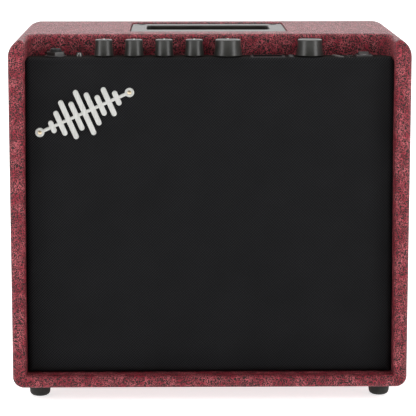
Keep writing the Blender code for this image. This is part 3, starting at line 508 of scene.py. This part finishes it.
VINYL = vinyl()
WEAVE = grille_weave()
BLACK_PLASTIC = moulded("black_plastic", (0.016, 0.016, 0.016), 0.42)
HANDLE_PLASTIC = moulded("handle_plastic", (0.020, 0.017, 0.014), 0.40, 0.00006, 0.26)
KNOB_PLASTIC = moulded("knob_plastic", (0.015, 0.015, 0.013), 0.34, 0.00003, 0.46)
BUTTON_PLASTIC = moulded("button_plastic", (0.085, 0.080, 0.075), 0.45)
RUBBER = rubber()
POWDER_COAT = powder_coat()
NICKEL = metal("nickel", (0.70, 0.68, 0.64), 0.22, (1.0, 1.0, 0.2))
DARK_NICKEL = metal("dark_nickel", (0.16, 0.155, 0.15), 0.30, (1.0, 1.0, 0.2))
ZINC = metal("zinc_steel", (0.50, 0.50, 0.51), 0.34, (0.3, 1.0, 1.0))
SCREW_STEEL = metal("screw_steel", (0.10, 0.10, 0.10), 0.35, (1.0, 1.0, 0.3))
BADGE_SILVER = badge_silver()
BRASS = metal("rivet_brass", (0.62, 0.52, 0.36), 0.30, (1.0, 1.0, 1.0))
BOARD = stained_board()
BACK_VINYL = back_vinyl()
GLASS = display_glass()
CIRCUIT = circuit_board()
PAPER = fibre("cone_paper", (0.010, 0.010, 0.010), (0.030, 0.030, 0.030), 700)
AMBER_CLOTH = fibre("varnished_cloth", (0.28, 0.15, 0.04), (0.48, 0.28, 0.09), 1100, 0.7)
FERRITE = fibre("ferrite", (0.018, 0.018, 0.020), (0.045, 0.045, 0.050), 500, 0.6)
COPPER = metal("copper_winding", (0.62, 0.28, 0.13), 0.30, (1.0, 0.02, 1.0))
WHITE = white_print()

CAD_FINISHES = {
    "control_panel": POWDER_COAT,
    "handle_cup": BLACK_PLASTIC,
    "baffle_board": BOARD,
    "back_panel": BACK_VINYL,
    "display_window": GLASS,
    "input_jack_body": BLACK_PLASTIC,
    "headphone_jack": BLACK_PLASTIC,
    "usb_port": NICKEL,
    "chassis_tray": ZINC,
    "main_board": CIRCUIT,
    "amplifier_board": CIRCUIT,
    "power_transformer": ZINC,
    "encoder_body": BLACK_PLASTIC,
    "encoder_plunger": BLACK_PLASTIC,
    "speaker_basket": ZINC,
    "speaker_top_plate": ZINC,
    "speaker_yoke": ZINC,
    "speaker_magnet": FERRITE,
    "speaker_surround": RUBBER,
    "speaker_cone": PAPER,
    "dust_cap": PAPER,
    "voice_coil": COPPER,
    "spider": AMBER_CLOTH,
}


def finish_cad_nodes():
    """Gives every CAD node that stays in view or inside its own procedural material."""
    for name, node in frame["nodes"].items():
        material = CAD_FINISHES.get(name)
        if name.endswith("_shaft"):
            material = NICKEL
        if name.endswith("_potentiometer"):
            material = BLACK_PLASTIC
        if "button" in name:
            material = BUTTON_PLASTIC
        if material:
            node.data.materials.clear()
            node.data.materials.append(material)


# ---------------------------------------------------------------- cabinet


def flare(depth, radius):
    """How far a rounded edge opens at a depth behind its face."""
    left = max(radius - depth, 0.0)
    return radius - sqrt(radius * radius - left * left)


def edge_steps(radius, steps=6):
    """Depths that cut a rounded edge into equal turns."""
    return [radius * (1 - cos(pi / 2 * i / steps)) for i in range(steps + 1)]


def outer_rings(inset):
    """The cabinet's outside as rings from front to back.

    With an inset it's the eroded shape, with plain ends.
    """
    top, bottom = TOP_CORNER_RADIUS - inset, BOTTOM_CORNER_RADIUS - inset
    half = WIDTH / 2 - inset

    def ring(y, drawn_in):
        radii = (bottom - drawn_in,) * 2 + (top - drawn_in,) * 2
        x, low, high = half - drawn_in, BOTTOM_Z + inset + drawn_in, TOP_Z - inset - drawn_in
        return placed(rectangle(-x, low, x, high, radii, 16), y, BACKWARD)

    if inset:
        return [ring(FRONT_Y + inset, 0), ring(BACK_Y - inset, 0)]
    rounded = [(d, flare(d, EDGE_RADIUS)) for d in edge_steps(EDGE_RADIUS)]
    front = [ring(FRONT_Y + depth, drawn_in) for depth, drawn_in in rounded]
    back = [ring(BACK_Y - depth, drawn_in) for depth, drawn_in in rounded[::-1]]
    return front + back


def cavity_rings(grow):
    """The hollow below the panel and the top board, as rings from front to back."""
    board_back = RECESS_BACK_Y + RECESS_BOARD - grow
    board_front = RECESS_BACK_Y + grow
    under_panel = PANEL_LOW.z + 0.001
    board_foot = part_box("baffle_board")[1].z + GAP
    rounded = [(d, flare(d, EDGE_RADIUS)) for d in edge_steps(EDGE_RADIUS)]
    if grow:
        rounded = [(0.0, 0.0)]

    def ring(y, opened, high):
        x = INNER_X + grow + opened
        return placed(rectangle(-x, FLOOR_Z - grow - opened, x, high), y, BACKWARD)

    past = 0.005
    rings = [ring(FRONT_Y - past, rounded[0][1], under_panel)]
    rings += [ring(FRONT_Y + depth, opened, under_panel) for depth, opened in rounded if not grow]
    rings.append(ring(board_front, 0, under_panel))
    rings.append(ring(board_front + 0.0001, 0, board_foot + grow))
    rings.append(ring(board_back, 0, board_foot + grow))
    rings.append(ring(board_back + 0.0001, 0, CEILING_Z + grow))
    back = rounded[::-1] if not grow else []
    rings += [ring(BACK_Y - depth, opened, CEILING_Z + grow + opened) for depth, opened in back]
    rings.append(ring(BACK_Y + past, rounded[0][1], CEILING_Z + grow + rounded[0][1]))
    return rings


def recess_rings(grow):
    """The control recess as plan rings from below the panel up past the top."""
    corner_steps = 10

    def ring(z, opened):
        x = RECESS_HALF_X + grow + opened
        back = RECESS_BACK_Y + grow + opened
        corner = RECESS_CORNER_RADIUS + grow + opened
        outline = rectangle(-x, FRONT_Y, x, back, (0, 0, corner, corner), corner_steps)
        sides = [] if grow else edge_steps(EDGE_RADIUS)
        right = [(x + flare(d, EDGE_RADIUS), FRONT_Y + d) for d in sides]
        left = [(-px, py) for px, py in right[::-1]]
        ahead = x + (0 if grow else EDGE_RADIUS)
        front = [(-ahead, FRONT_Y - 0.005), (ahead, FRONT_Y - 0.005)]
        return placed(left + front + right + outline[2:], z)

    heights = [(PANEL_LOW.z - 0.001 - grow, 0.0)]
    if grow:
        heights.append((TOP_Z + 0.010, 0.0))
    else:
        heights += [(TOP_Z - d, flare(d, EDGE_RADIUS)) for d in edge_steps(EDGE_RADIUS)[::-1]]
        heights.append((TOP_Z + 0.010, EDGE_RADIUS))
    return [ring(z, opened) for z, opened in heights]


def shell_solid(name, inset):
    """The cabinet with its hollow and recess. With an inset, every face is moved that far into the boards."""
    outside = bmesh.new()
    add_loft(outside, outer_rings(inset))
    shell = object_of(name, outside)
    for rings in (cavity_rings(inset), recess_rings(inset)):
        tool = bmesh.new()
        add_loft(tool, rings)
        carve(shell, tool)
    return shell


def is_recess_wall(face):
    """Whether a face is part of the upright walls round the control recess."""
    centre = face.calc_center_bounds()
    beside = abs(centre.x) < RECESS_HALF_X + EDGE_RADIUS and centre.y < RECESS_BACK_Y + EDGE_RADIUS
    return beside and abs(face.normal.z) < 0.2 and centre.z > PANEL_Z - 0.002


def build_cabinet():
    """The covered cabinet.

    Its edges are rounded by rolling each point back onto a ball round the eroded shape.
    """
    shell = shell_solid("cabinet_covering", 0.0)
    core = shell_solid("core", EDGE_RADIUS)
    rolled = bmesh.new()
    rolled.from_mesh(shell.data)
    for drop in WALL_CUTS:
        walls = [f for f in rolled.faces if is_recess_wall(f)]
        edges = list({e for f in walls for e in f.edges})
        verts = list({v for f in walls for v in f.verts})
        bmesh.ops.bisect_plane(
            rolled, geom=walls + edges + verts, plane_co=(0, 0, TOP_Z - drop), plane_no=(0, 0, 1), dist=WELD
        )
    bmesh.ops.triangulate(rolled, faces=rolled.faces)
    inner = bmesh.new()
    inner.from_mesh(core.data)
    bmesh.ops.triangulate(inner, faces=inner.faces)
    tree = BVHTree.FromBMesh(inner)
    for vert in rolled.verts:
        near = tree.find_nearest(vert.co)[0]
        away = vert.co - near
        if away.length > WELD:
            vert.co = near + away.normalized() * EDGE_RADIUS
    inner.free()
    bmesh.ops.dissolve_degenerate(rolled, dist=WELD, edges=rolled.edges)
    rolled.to_mesh(shell.data)
    rolled.free()
    bpy.data.objects.remove(core)

    plate_low, plate_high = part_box("handle_plate")
    rim = 0.0004
    opening = bmesh.new()
    outline = round_rectangle(
        plate_low.x - rim, plate_low.y - rim, plate_high.x + rim, plate_high.y + rim, 0.005
    )
    ledge = 0.0011
    rings = [placed(outline(0), plate_low.z), placed(outline(0), TOP_Z - ledge)]
    rings += [placed(outline(-flare(d, ledge)), TOP_Z - d) for d in edge_steps(ledge, 3)[::-1]]
    rings.append(placed(outline(-ledge), TOP_Z + 0.005))
    add_loft(opening, rings)
    carve(shell, opening)
    finish_piece(shell, VINYL, node="cabinet_shell", angle=50)


# ---------------------------------------------------------------- grille and badge

CLOTH_FRONT_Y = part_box("grille_cloth")[0].y
GRILLE_RADIUS = 0.0062
GRILLE_CORNER_RADIUS = 0.007
CLOTH_SKIN = 0.0004
CLOTH_LIFT = 0.0006


def build_grille():
    """The frame's front edges are round, and the cloth goes over them and a little way along its sides."""
    low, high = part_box("grille_frame")

    def outline(inset, side=0.0):
        """The grille seen from the front, drawn in by the inset, with round top corners."""
        drawn = inset - side
        foot, head = max(0.001 - drawn, SMALLEST_RADIUS), max(GRILLE_CORNER_RADIUS - drawn, SMALLEST_RADIUS)
        corners = (foot, foot, head, head)
        return rectangle(low.x + drawn, low.z + drawn, high.x - drawn, high.z - drawn, corners, 8)

    body = bmesh.new()
    add_rounded(body, outline, low.y, high.y, GRILLE_RADIUS, 0, BACKWARD, 8)
    rails = object_of("grille_rails", body)
    rail = 0.020
    window = bmesh.new()
    inside = rectangle(low.x + rail, low.z + rail, high.x - rail, high.z - rail)
    add_prism(window, inside, low.y - 0.01, high.y + 0.01, BACKWARD)
    carve(rails, window)
    finish_piece(rails, BOARD, node="grille_frame")

    radius = GRILLE_RADIUS + CLOTH_LIFT
    tail = 0.0003
    turns = [pi / 2 * i / 8 for i in range(9)]
    bends = [(radius * (1 - sin(turn)), radius * (1 - cos(turn))) for turn in turns]
    stations = [(radius + 0.020, 0.0), (radius + 0.001, 0.0)] + bends + [(0.0, radius + tail)]
    cloth = bmesh.new()
    rings = []
    for inset, depth in stations:
        points = placed(outline(inset, CLOTH_LIFT), CLOTH_FRONT_Y + depth, BACKWARD)
        rings.append([cloth.verts.new(p) for p in points])
    cloth.faces.new(rings[0])
    for inner, outer in zip(rings, rings[1:]):
        for i in range(len(inner)):
            j = (i + 1) % len(inner)
            cloth.faces.new((inner[i], inner[j], outer[j], outer[i]))
    bmesh.ops.recalc_face_normals(cloth, faces=cloth.faces)
    data = bpy.data.meshes.new("grille_fabric")
    cloth.to_mesh(data)
    cloth.free()
    fabric = linked("grille_fabric", data)
    thick = fabric.modifiers.new("Cloth", "SOLIDIFY")
    thick.thickness = CLOTH_SKIN
    thick.offset = -1 if data.polygons[0].normal.y < 0 else 1
    finish_piece(fabric, WEAVE, node="grille_cloth")


BADGE_TILT = radians(24)
BADGE_SPINE = (0.0880, 0.0030)
BADGE_PAD_RADIUS = 0.0042
BADGE_BAR_WIDTH = 0.0048
BADGE_BAR_HEIGHTS = (0.012, 0.024, 0.038, 0.028, 0.044, 0.032, 0.020, 0.028, 0.014)


def build_badge():
    """Level bars on a slanting spine, an abstract ornament held by two rivets."""
    low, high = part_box("badge")
    length, spine = BADGE_SPINE
    centre = Vector(((low.x + high.x) / 2, 0, (low.z + high.z) / 2))
    tilt = Matrix.Translation(centre) @ Matrix.Rotation(-BADGE_TILT, 4, "Y") @ BACKWARD
    edge = 0.0007

    def bar(x, height, width=BADGE_BAR_WIDTH):
        mesh = bmesh.new()
        outline = round_rectangle(x - width / 2, -height / 2, x + width / 2, height / 2, width * 0.49, 6)
        add_rounded(mesh, outline, low.y, high.y, edge, 0, tilt, 3)
        return mesh

    mesh = bmesh.new()
    outline = round_rectangle(-length / 2, -spine / 2, length / 2, spine / 2, 0.0012, 3)
    add_rounded(mesh, outline, low.y + 0.0002, high.y, edge, 0, tilt, 3)
    badge = object_of("ornament", mesh)
    count = len(BADGE_BAR_HEIGHTS)
    pitch = (length - 4 * BADGE_PAD_RADIUS) / count
    for i, height in enumerate(BADGE_BAR_HEIGHTS):
        carve(badge, bar((i - (count - 1) / 2) * pitch, height), "UNION")
    for side in (-1, 1):
        pad = bmesh.new()
        disc = round_disc(BADGE_PAD_RADIUS, 32, side * length / 2)
        add_rounded(pad, disc, low.y + 0.0003, high.y, edge, 0, tilt, 3)
        carve(badge, pad, "UNION")
    finish_piece(badge, BADGE_SILVER, node="badge")
    for side, name in ((-1, "left"), (1, "right")):
        rivet = bmesh.new()
        front = low.y - 0.0008
        profile = [
            (0, front), (0.0009, front + 0.0001), (0.0016, front + 0.0004), (0.0019, front + 0.0009),
            (0.0019, low.y + 0.0010), (0, low.y + 0.0010),
        ]
        add_turned(rivet, profile, 24, (side * length / 2, 0), tilt)
        finish_piece(object_of(f"badge_rivet_{name}", rivet), BRASS)


# ---------------------------------------------------------------- fasteners


def cross_slot(radius, turn):
    """The outline of a cross-head driver slot."""
    arm, half = radius * 0.62, radius * 0.16
    outline = [
        (half, half), (half, arm), (-half, arm), (-half, half), (-arm, half), (-arm, -half), (-half, -half),
        (-half, -arm), (half, -arm), (half, -half), (arm, -half), (arm, half),
    ]
    return [(u * cos(turn) - v * sin(turn), u * sin(turn) + v * cos(turn)) for u, v in outline]


def build_screw(name, place, matrix, radius, height, material, turn):
    """A domed cross-head screw whose head stands on a face. The matrix turns its +w away from the face."""
    head = bmesh.new()
    dome = [(radius * sin(a), height * 0.35 + height * 0.65 * cos(a)) for a in (pi / 2, 1.2, 0.85, 0.5, 0.2)]
    add_turned(head, [(0, 0), (radius, 0)] + dome + [(0, height)], 24)
    screw = object_of(name, head)
    slot = bmesh.new()
    add_prism(slot, cross_slot(radius, turn), height * 0.3, height + 0.01)
    carve(screw, slot)
    screw.data.transform(Matrix.Translation(place) @ matrix)
    finish_piece(screw, material)


FACE_DOWN = Matrix.Rotation(pi, 4, "X")
FACE_BACK = Matrix.Rotation(-pi / 2, 4, "X")

# ---------------------------------------------------------------- carrying handle

SLOT_HALF_X = 0.0580
SLOT_Y = (FRONT_Y + 0.1160, FRONT_Y + 0.1660)
GRIP_Y = FRONT_Y + 0.0960


def build_handle():
    low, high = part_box("handle_plate")
    thickness = 0.0032
    underside = high.z - thickness
    plate_mesh = bmesh.new()
    outline = round_rectangle(low.x, low.y, high.x, high.y, 0.0046, 8)
    add_rounded(plate_mesh, outline, underside, high.z, 0, 0.0011)
    plate = object_of("handle_bezel", plate_mesh)
    grip = bmesh.new()
    grip_corners = [
        (GRIP_Y, underside + 0.001, 0), (GRIP_Y, low.z, 0.0050), (SLOT_Y[0] + 0.001, low.z, 0.0050),
        (SLOT_Y[0] + 0.001, underside + 0.001, 0),
    ]
    reach = SLOT_HALF_X - 0.0012
    add_prism(grip, filleted(grip_corners, 6), -reach, reach, SIDEWAYS)
    carve(plate, grip, "UNION")
    slot = bmesh.new()
    lip = 0.0016
    outline = round_rectangle(-SLOT_HALF_X, SLOT_Y[0], SLOT_HALF_X, SLOT_Y[1], 0.0045, 8)
    rings = [placed(outline(0), low.z - 0.005), placed(outline(0), high.z - lip)]
    rings += [placed(outline(-flare(d, lip)), high.z - d) for d in edge_steps(lip, 4)[::-1]]
    rings.append(placed(outline(-lip), high.z + 0.005))
    add_loft(slot, rings)
    carve(plate, slot)
    sinks = bmesh.new()
    screw_x, screw_ys = high.x - 0.0095, (low.y + 0.0105, high.y - 0.0120)
    spots = [(sx * screw_x, y) for sx in (-1, 1) for y in screw_ys]
    sink_floor, above = high.z - 0.0016, high.z + 0.004
    for x, y in spots:
        add_turned(sinks, [(0, sink_floor), (0.0036, sink_floor), (0.0036, above), (0, above)], 32, (x, y))
    carve(plate, sinks)
    finish_piece(plate, HANDLE_PLASTIC, node="handle_plate")
    for number, (x, y) in enumerate(spots, 1):
        place = Vector((x, y, sink_floor))
        build_screw(f"handle_screw_{number}", place, UP, 0.0031, 0.0013, SCREW_STEEL, 0.4 * number)


# ---------------------------------------------------------------- controls


def knob_profile(base, top, height):
    """A skirt, a slightly hollow side, a round rim and a shallow dish, with a bore for the shaft."""
    bore = 0.0033
    sides = []
    for i in range(1, 6):
        share = i / 6
        straight = base - 0.0003 + (top - base + 0.0003) * share
        sides.append((straight - 0.00025 * sin(pi * share), 0.0016 + (height - 0.0026) * share))
    rim = 0.0009
    profile = [(0, 0.0104), (bore, 0.0104), (bore, 0), (base - 0.0007, 0), (base - 0.0002, 0.0002)]
    profile += [(base, 0.0007), (base - 0.0002, 0.0013)] + sides
    profile += arc(top - rim, height - rim, rim, 0.05, pi / 2, 5)
    dish = top - 0.0022
    profile += [(dish, height), (dish - 0.0005, height - 0.0003), (dish - 0.0012, height - 0.0005)]
    return profile + [(0, height - 0.0007)]


def build_knob(node, body, pointer=True):
    low, high, x, y = placing(node)
    base = (high.x - low.x) / 2
    top = base * 0.89
    height = high.z - low.z
    mesh = bmesh.new()
    add_turned(mesh, [(r, low.z + h) for r, h in knob_profile(base, top, height)], 64, (x, y))
    knob = object_of(f"{node}_cap", mesh)
    if pointer:
        dot_y, dot_floor = y + top - 0.0030, high.z - 0.0010
        sink = bmesh.new()
        add_prism(sink, circle(0.00092, 20, x, dot_y), dot_floor, high.z + 0.002)
        carve(knob, sink)
    finish_piece(knob, KNOB_PLASTIC, body, node)
    if pointer:
        dot = bmesh.new()
        disc = round_disc(0.00088, 20, x, dot_y)
        add_rounded(dot, disc, dot_floor, high.z + 0.0002, 0, 0.0002, UP, 3)
        finish_piece(object_of(f"{node}_dot", dot), WHITE, body)


def build_input_jack():
    """The threaded collar with its flange, and the hex nut on it."""
    _, high, x, y = placing("input_jack_collar")
    hole, base = 0.0032, PANEL_Z + GAP
    mesh = bmesh.new()
    corners = [
        (hole, base - 0.0020, 0), (0.0054, base - 0.0020, 0), (0.0054, base, 0), (0.0098, base, 0),
        (0.0098, base + 0.0011, 0.0004), (0.0060, base + 0.0013, 0), (0.0058, base + 0.0046, 0),
    ]
    crest, groove = 0.00012, 0.0005
    for turn in range(3):
        z = base + 0.0050 + turn * 0.0007
        wide = 0.0056 - turn * 0.00032
        corners += [(wide - groove, z - 0.0003, 0), (wide, z - crest, 0), (wide, z + crest, 0)]
    corners += [(0.0045, base + 0.0067, 0), (0.0045, high.z, 0.0002), (hole, high.z, 0.0004)]
    add_turned(mesh, filleted(corners, 3), 48, (x, y))
    collar = object_of("input_jack_bushing", mesh)
    finish_piece(collar, BLACK_PLASTIC, node="input_jack_collar")

    nut = bmesh.new()
    flats = 0.0150
    add_prism(nut, circle(flats / sqrt(3), 6, x, y, pi / 6), base + 0.0012, base + 0.0044)
    hex_nut = object_of("input_jack_nut", nut)
    chamfer = bmesh.new()
    crown = base + 0.0046
    cone = [(0, base), (0.0100, base), (0.0100, crown - 0.0010), (0.0072, crown), (0, crown)]
    add_turned(chamfer, cone, 48, (x, y))
    carve(hex_nut, chamfer, "INTERSECT")
    middle = bmesh.new()
    add_prism(middle, circle(0.0056, 48, x, y), base, base + 0.010)
    carve(hex_nut, middle)
    finish_piece(hex_nut, KNOB_PLASTIC)


def build_aux_jack():
    low, high, x, y = placing("aux_jack")
    hole, barrel, nut, nose = 0.00175, 0.0026, 0.0033, 0.0025
    seat = PANEL_Z + GAP
    corners = [
        (hole, low.z, 0), (barrel, low.z, 0), (barrel, seat, 0), (nut, seat, 0),
        (nut, PANEL_Z + 0.0018, 0.0003), (nose, PANEL_Z + 0.0020, 0),
        (nose, high.z, 0.0005), (hole, high.z, 0.0002),
    ]
    mesh = bmesh.new()
    add_turned(mesh, filleted(corners, 3), 40, (x, y))
    finish_piece(object_of("aux_jack_bushing", mesh), DARK_NICKEL, node="aux_jack")


def build_switch():
    """The rocker's housing with a rounded flange, and the hollowed rocker with a mark near its front end."""
    low, high, x, y = placing("switch_housing")
    flange_x, flange_y = (high.x - low.x) / 2, (high.y - low.y) / 2
    mesh = bmesh.new()
    body = bmesh.new()
    add_box(body, (x - 0.0063, y - 0.0093, low.z), (x + 0.0063, y + 0.0093, PANEL_Z + 0.0010))
    outline = round_rectangle(x - flange_x, y - flange_y, x + flange_x, y + flange_y, 0.0014)
    add_rounded(mesh, outline, PANEL_Z + GAP, high.z, 0, 0.0007)
    housing = object_of("power_switch_frame", mesh)
    carve(housing, body, "UNION")
    well = bmesh.new()
    well_x, well_y = 0.0053, 0.0082
    add_box(well, (x - well_x, y - well_y, PANEL_Z - 0.0090), (x + well_x, y + well_y, PANEL_Z + 0.010))
    carve(housing, well)
    finish_piece(housing, BLACK_PLASTIC, node="switch_housing")

    joint = next(j for j in frame["joints"] if j["name"] == "power_rock")
    turn = Matrix.Translation(joint["pos_m"]) @ Matrix.Rotation(radians(7), 4, "X")
    half_x, half_y, crown, foot, sag = 0.0046, 0.0075, 0.0026, -0.0030, 0.0010
    top = [(-half_y + 2 * half_y * i / 10, crown - sag * sin(pi * i / 10)) for i in range(10, -1, -1)]
    outline = [(-half_y, foot), (half_y, foot)] + top
    rocker_mesh = bmesh.new()
    add_prism(rocker_mesh, outline, -half_x, half_x, turn @ SIDEWAYS)
    rocker = object_of("power_rocker_cap", rocker_mesh)
    soft = rocker.modifiers.new("Soft edges", "BEVEL")
    soft.width = 0.0005
    soft.segments = 3
    soft.limit_method = "ANGLE"
    soft.angle_limit = radians(50)
    apply_modifiers(rocker)
    finish_piece(rocker, BLACK_PLASTIC, "power_rocker", "switch_rocker", angle=40)
    mark = bmesh.new()
    mark_y, mark_z = -half_y * 0.62, crown - sag * sin(pi * 0.19)
    outline = round_rectangle(-0.0014, mark_y - 0.00025, 0.0014, mark_y + 0.00025, 0.0002, 2)
    add_rounded(mark, outline, mark_z - 0.0005, mark_z + 0.00008, 0, 0.00005, turn, 2)
    finish_piece(object_of("power_rocker_mark", mark), WHITE, "power_rocker")


def build_buttons():
    for name in sorted(frame["nodes"]):
        if "_button_" not in name:
            continue
        low, high, x, y = placing(name)
        radius = (high.x - low.x) / 2
        corners = [
            (0, low.z, 0), (radius, low.z, 0), (radius, high.z, 0.0007), (radius * 0.5, high.z - 0.0001, 0),
            (0, high.z - 0.0003, 0),
        ]
        mesh = bmesh.new()
        add_turned(mesh, filleted(corners, 4), 40, (x, y))
        material = BUTTON_PLASTIC if name.startswith("utility") else BLACK_PLASTIC
        finish_piece(object_of(f"{name}_cap", mesh), material, name, name)


def build_display_bezel():
    """A thin raised frame round the display."""
    low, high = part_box("display_window")
    border = bmesh.new()
    margin, inset, depth = 0.0014, 0.0008, 0.002
    outside = round_rectangle(low.x - margin, low.y - margin, high.x + margin, high.y + margin, 0.0016)
    add_rounded(border, outside, PANEL_Z + 0.00002, PANEL_Z + 0.00055, 0, 0.0003, UP, 3)
    bezel = object_of("display_bezel", border)
    window = bmesh.new()
    inside = rectangle(low.x + inset, low.y + inset, high.x - inset, high.y - inset, (0.0006,) * 4)
    add_prism(window, inside, PANEL_Z - depth, PANEL_Z + depth)
    carve(bezel, window)
    finish_piece(bezel, BLACK_PLASTIC)


def build_controls():
    for name in ("gain", "volume", "treble", "bass", "master"):
        build_knob(f"{name}_knob", f"{name}_control")
    build_knob("encoder_knob", "encoder_dial", pointer=False)
    build_input_jack()
    build_aux_jack()
    build_switch()
    build_buttons()
    build_display_bezel()


# ---------------------------------------------------------------- feet and back


def build_feet():
    for name in sorted(frame["nodes"]):
        if not name.startswith("foot_"):
            continue
        low, high, x, y = placing(name)
        radius = (high.x - low.x) / 2
        screw_seat = 0.0036
        corners = [
            (0, screw_seat, 0), (0.0034, screw_seat, 0), (0.0042, 0, 0.0003), (radius * 0.90, 0, 0.0042),
            (radius, high.z, 0.0004), (0, high.z, 0),
        ]
        mesh = bmesh.new()
        add_turned(mesh, filleted(corners, 6), 48, (x, y))
        finish_piece(object_of(f"{name}_rubber", mesh), RUBBER, node=name)
        build_screw(f"{name}_screw", Vector((x, y, screw_seat)), FACE_DOWN, 0.0028, 0.0016, ZINC, 0.5)


SURROUND_CREST_RADIUS = 0.0785
SPIDER_MIDDLE_RADIUS = 0.0296


def split_driver_ring(node, radius, material):
    """Parts a ring that flexes with the cone on one of its folds: the inner half goes with the cone."""
    low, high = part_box(node)
    x, z = (low.x + high.x) / 2, (low.z + high.z) / 2
    for half, body in (("inner", "speaker_motion"), ("outer", ROOT)):
        ring = bmesh.new()
        ring.from_mesh(frame["nodes"][node].data)
        bmesh.ops.remove_doubles(ring, verts=ring.verts, dist=WELD)
        beyond = []
        for face in ring.faces:
            centre = face.calc_center_median()
            outside = sqrt((centre.x - x) ** 2 + (centre.z - z) ** 2) > radius
            if outside == (half == "inner"):
                beyond.append(face)
        bmesh.ops.delete(ring, geom=beyond, context="FACES")
        bmesh.ops.bridge_loops(ring, edges=[edge for edge in ring.edges if edge.is_boundary])
        finish_piece(object_of(f"{node}_{half}", ring), material, body, node)


def build_back():
    """Screws in cup washers round the back panel, and the mains inlet."""
    low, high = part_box("back_panel")
    face = high.y
    inset = 0.0085
    columns = [low.x + inset, (low.x + high.x) / 2, high.x - inset]
    rows = [low.z + inset, (low.z + high.z) / 2, high.z - inset]
    spots = [(x, z) for z in rows for x in columns if (x, z) != (columns[1], rows[1])]
    for number, (x, z) in enumerate(spots, 1):
        washer = bmesh.new()
        cup = [
            (0.0024, 0.00002), (0.0062, 0.00002), (0.0058, 0.0005), (0.0044, 0.0014), (0.0036, 0.0013),
            (0.0030, 0.0006), (0.0024, 0.0006),
        ]
        add_turned(washer, [(r, face + h) for r, h in cup], 32, (x, z), BACKWARD)
        finish_piece(object_of(f"back_washer_{number}", washer), NICKEL)
        place = Vector((x, face + 0.0002, z))
        build_screw(f"back_screw_{number}", place, FACE_BACK, 0.0029, 0.0015, ZINC, 0.7 * number)
    build_inlet()


def build_inlet():
    low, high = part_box("power_inlet")
    x, z = (low.x + high.x) / 2, (low.z + high.z) / 2
    face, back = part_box("back_panel")[1].y + GAP, high.y
    mesh = bmesh.new()
    outline = round_rectangle(low.x, low.z, high.x, high.z, 0.0022)
    add_rounded(mesh, outline, face, back, 0, 0.0008, BACKWARD)
    inlet = object_of("mains_inlet", mesh)
    body = bmesh.new()
    add_box(body, (x - 0.0135, low.y, z - 0.0099), (x + 0.0135, face + 0.001, z + 0.0099))
    carve(inlet, body, "UNION")
    cavity = bmesh.new()
    chamfer = 0.005
    half_x, half_z = 0.0120, 0.0080
    left, right, foot, head = x - half_x, x + half_x, z - half_z, z + half_z
    corners = [
        (left, foot, 0.0008), (right, foot, 0.0008), (right, head - chamfer, 0.0006),
        (right - chamfer, head, 0.0006), (left + chamfer, head, 0.0006), (left, head - chamfer, 0.0006),
    ]
    add_prism(cavity, filleted(corners, 3), low.y + 0.005, back + 0.01, BACKWARD)
    carve(inlet, cavity)
    finish_piece(inlet, BLACK_PLASTIC, node="power_inlet")
    for number, (step, rise) in enumerate(((-1, -0.0020), (0, 0.0020), (1, -0.0020)), 1):
        pin = bmesh.new()
        pin_x, pin_z = x + step * 0.0070, z + rise
        outline = round_rectangle(pin_x - 0.0010, pin_z - 0.0020, pin_x + 0.0010, pin_z + 0.0020, 0.0004, 3)
        add_rounded(pin, outline, low.y + 0.0045, back - 0.0060, 0, 0.0006, BACKWARD, 3)
        finish_piece(object_of(f"inlet_pin_{number}", pin), NICKEL)


# ---------------------------------------------------------------- stage


def build_stage():
    """A pale floor, two soft boxes in front, a soft light above and the surround."""
    floor_mesh = bmesh.new()
    reach, back = 30.0, 60.0
    floor_mesh.faces.new([floor_mesh.verts.new((x, y, 0)) for x, y in rectangle(-reach, -reach, reach, back)])
    data = bpy.data.meshes.new("studio_floor")
    floor_mesh.to_mesh(data)
    floor_mesh.free()
    floor = linked("studio_floor", data)
    floor.location.z = -0.0002
    floor.data.materials.append(pale_floor())

    build_world()
    aim = Vector((0, 0, 0.17))
    lamps = (
        ("soft_box_left", (-1.45, -1.05, 0.70), (0.75, 1.30), 14),
        ("soft_box_right", (1.45, -1.15, 0.70), (0.75, 1.30), 16),
        ("soft_box_top", (0.0, -0.5, 1.9), (1.4, 1.0), 14),
    )
    for name, place, size, power in lamps:
        light = bpy.data.lights.new(name, "AREA")
        light.shape = "RECTANGLE"
        light.size, light.size_y = size
        light.energy = power
        lamp = linked(name, light)
        lamp.location = place
        lamp.rotation_euler = (aim - Vector(place)).to_track_quat("-Z", "Y").to_euler()


def build_world():
    """A surround that is bright behind the object and dim in front of it."""
    world = bpy.data.worlds.new("studio")
    world.use_nodes = True
    tree = world.node_tree
    background = tree.nodes["Background"]
    background.inputs["Color"].default_value = (1, 1, 1, 1)
    way = tree.nodes.new("ShaderNodeTexCoord")
    parts = tree.nodes.new("ShaderNodeSeparateXYZ")
    fade = tree.nodes.new("ShaderNodeMapRange")
    fade.interpolation_type = "SMOOTHSTEP"
    for key, value in (("From Min", -0.5), ("From Max", 0.7), ("To Min", 0.06), ("To Max", 1.9)):
        fade.inputs[key].default_value = value
    tree.links.new(way.outputs["Generated"], parts.inputs[0])
    tree.links.new(parts.outputs["Y"], fade.inputs["Value"])
    tree.links.new(fade.outputs["Result"], background.inputs["Strength"])
    bpy.context.scene.world = world


def build_camera():
    data = bpy.data.cameras.new("camera")
    data.sensor_width = 36
    data.lens = 174.1
    camera = linked("camera", data)
    camera.location = (-0.0280, FRONT_Y - 1.7749, 0.4766)
    pitch, yaw = 0.1665, 0.0147
    camera.rotation_euler = (pi / 2 - pitch, 0, -yaw)
    bpy.context.scene.camera = camera
    bpy.context.scene.view_settings.view_transform = "Standard"


build_camera()
finish_cad_nodes()
build_cabinet()
build_grille()
build_badge()
build_handle()
build_controls()
build_feet()
build_back()
split_driver_ring("speaker_surround", SURROUND_CREST_RADIUS, RUBBER)
split_driver_ring("spider", SPIDER_MIDDLE_RADIUS, AMBER_CLOTH)
build_stage()
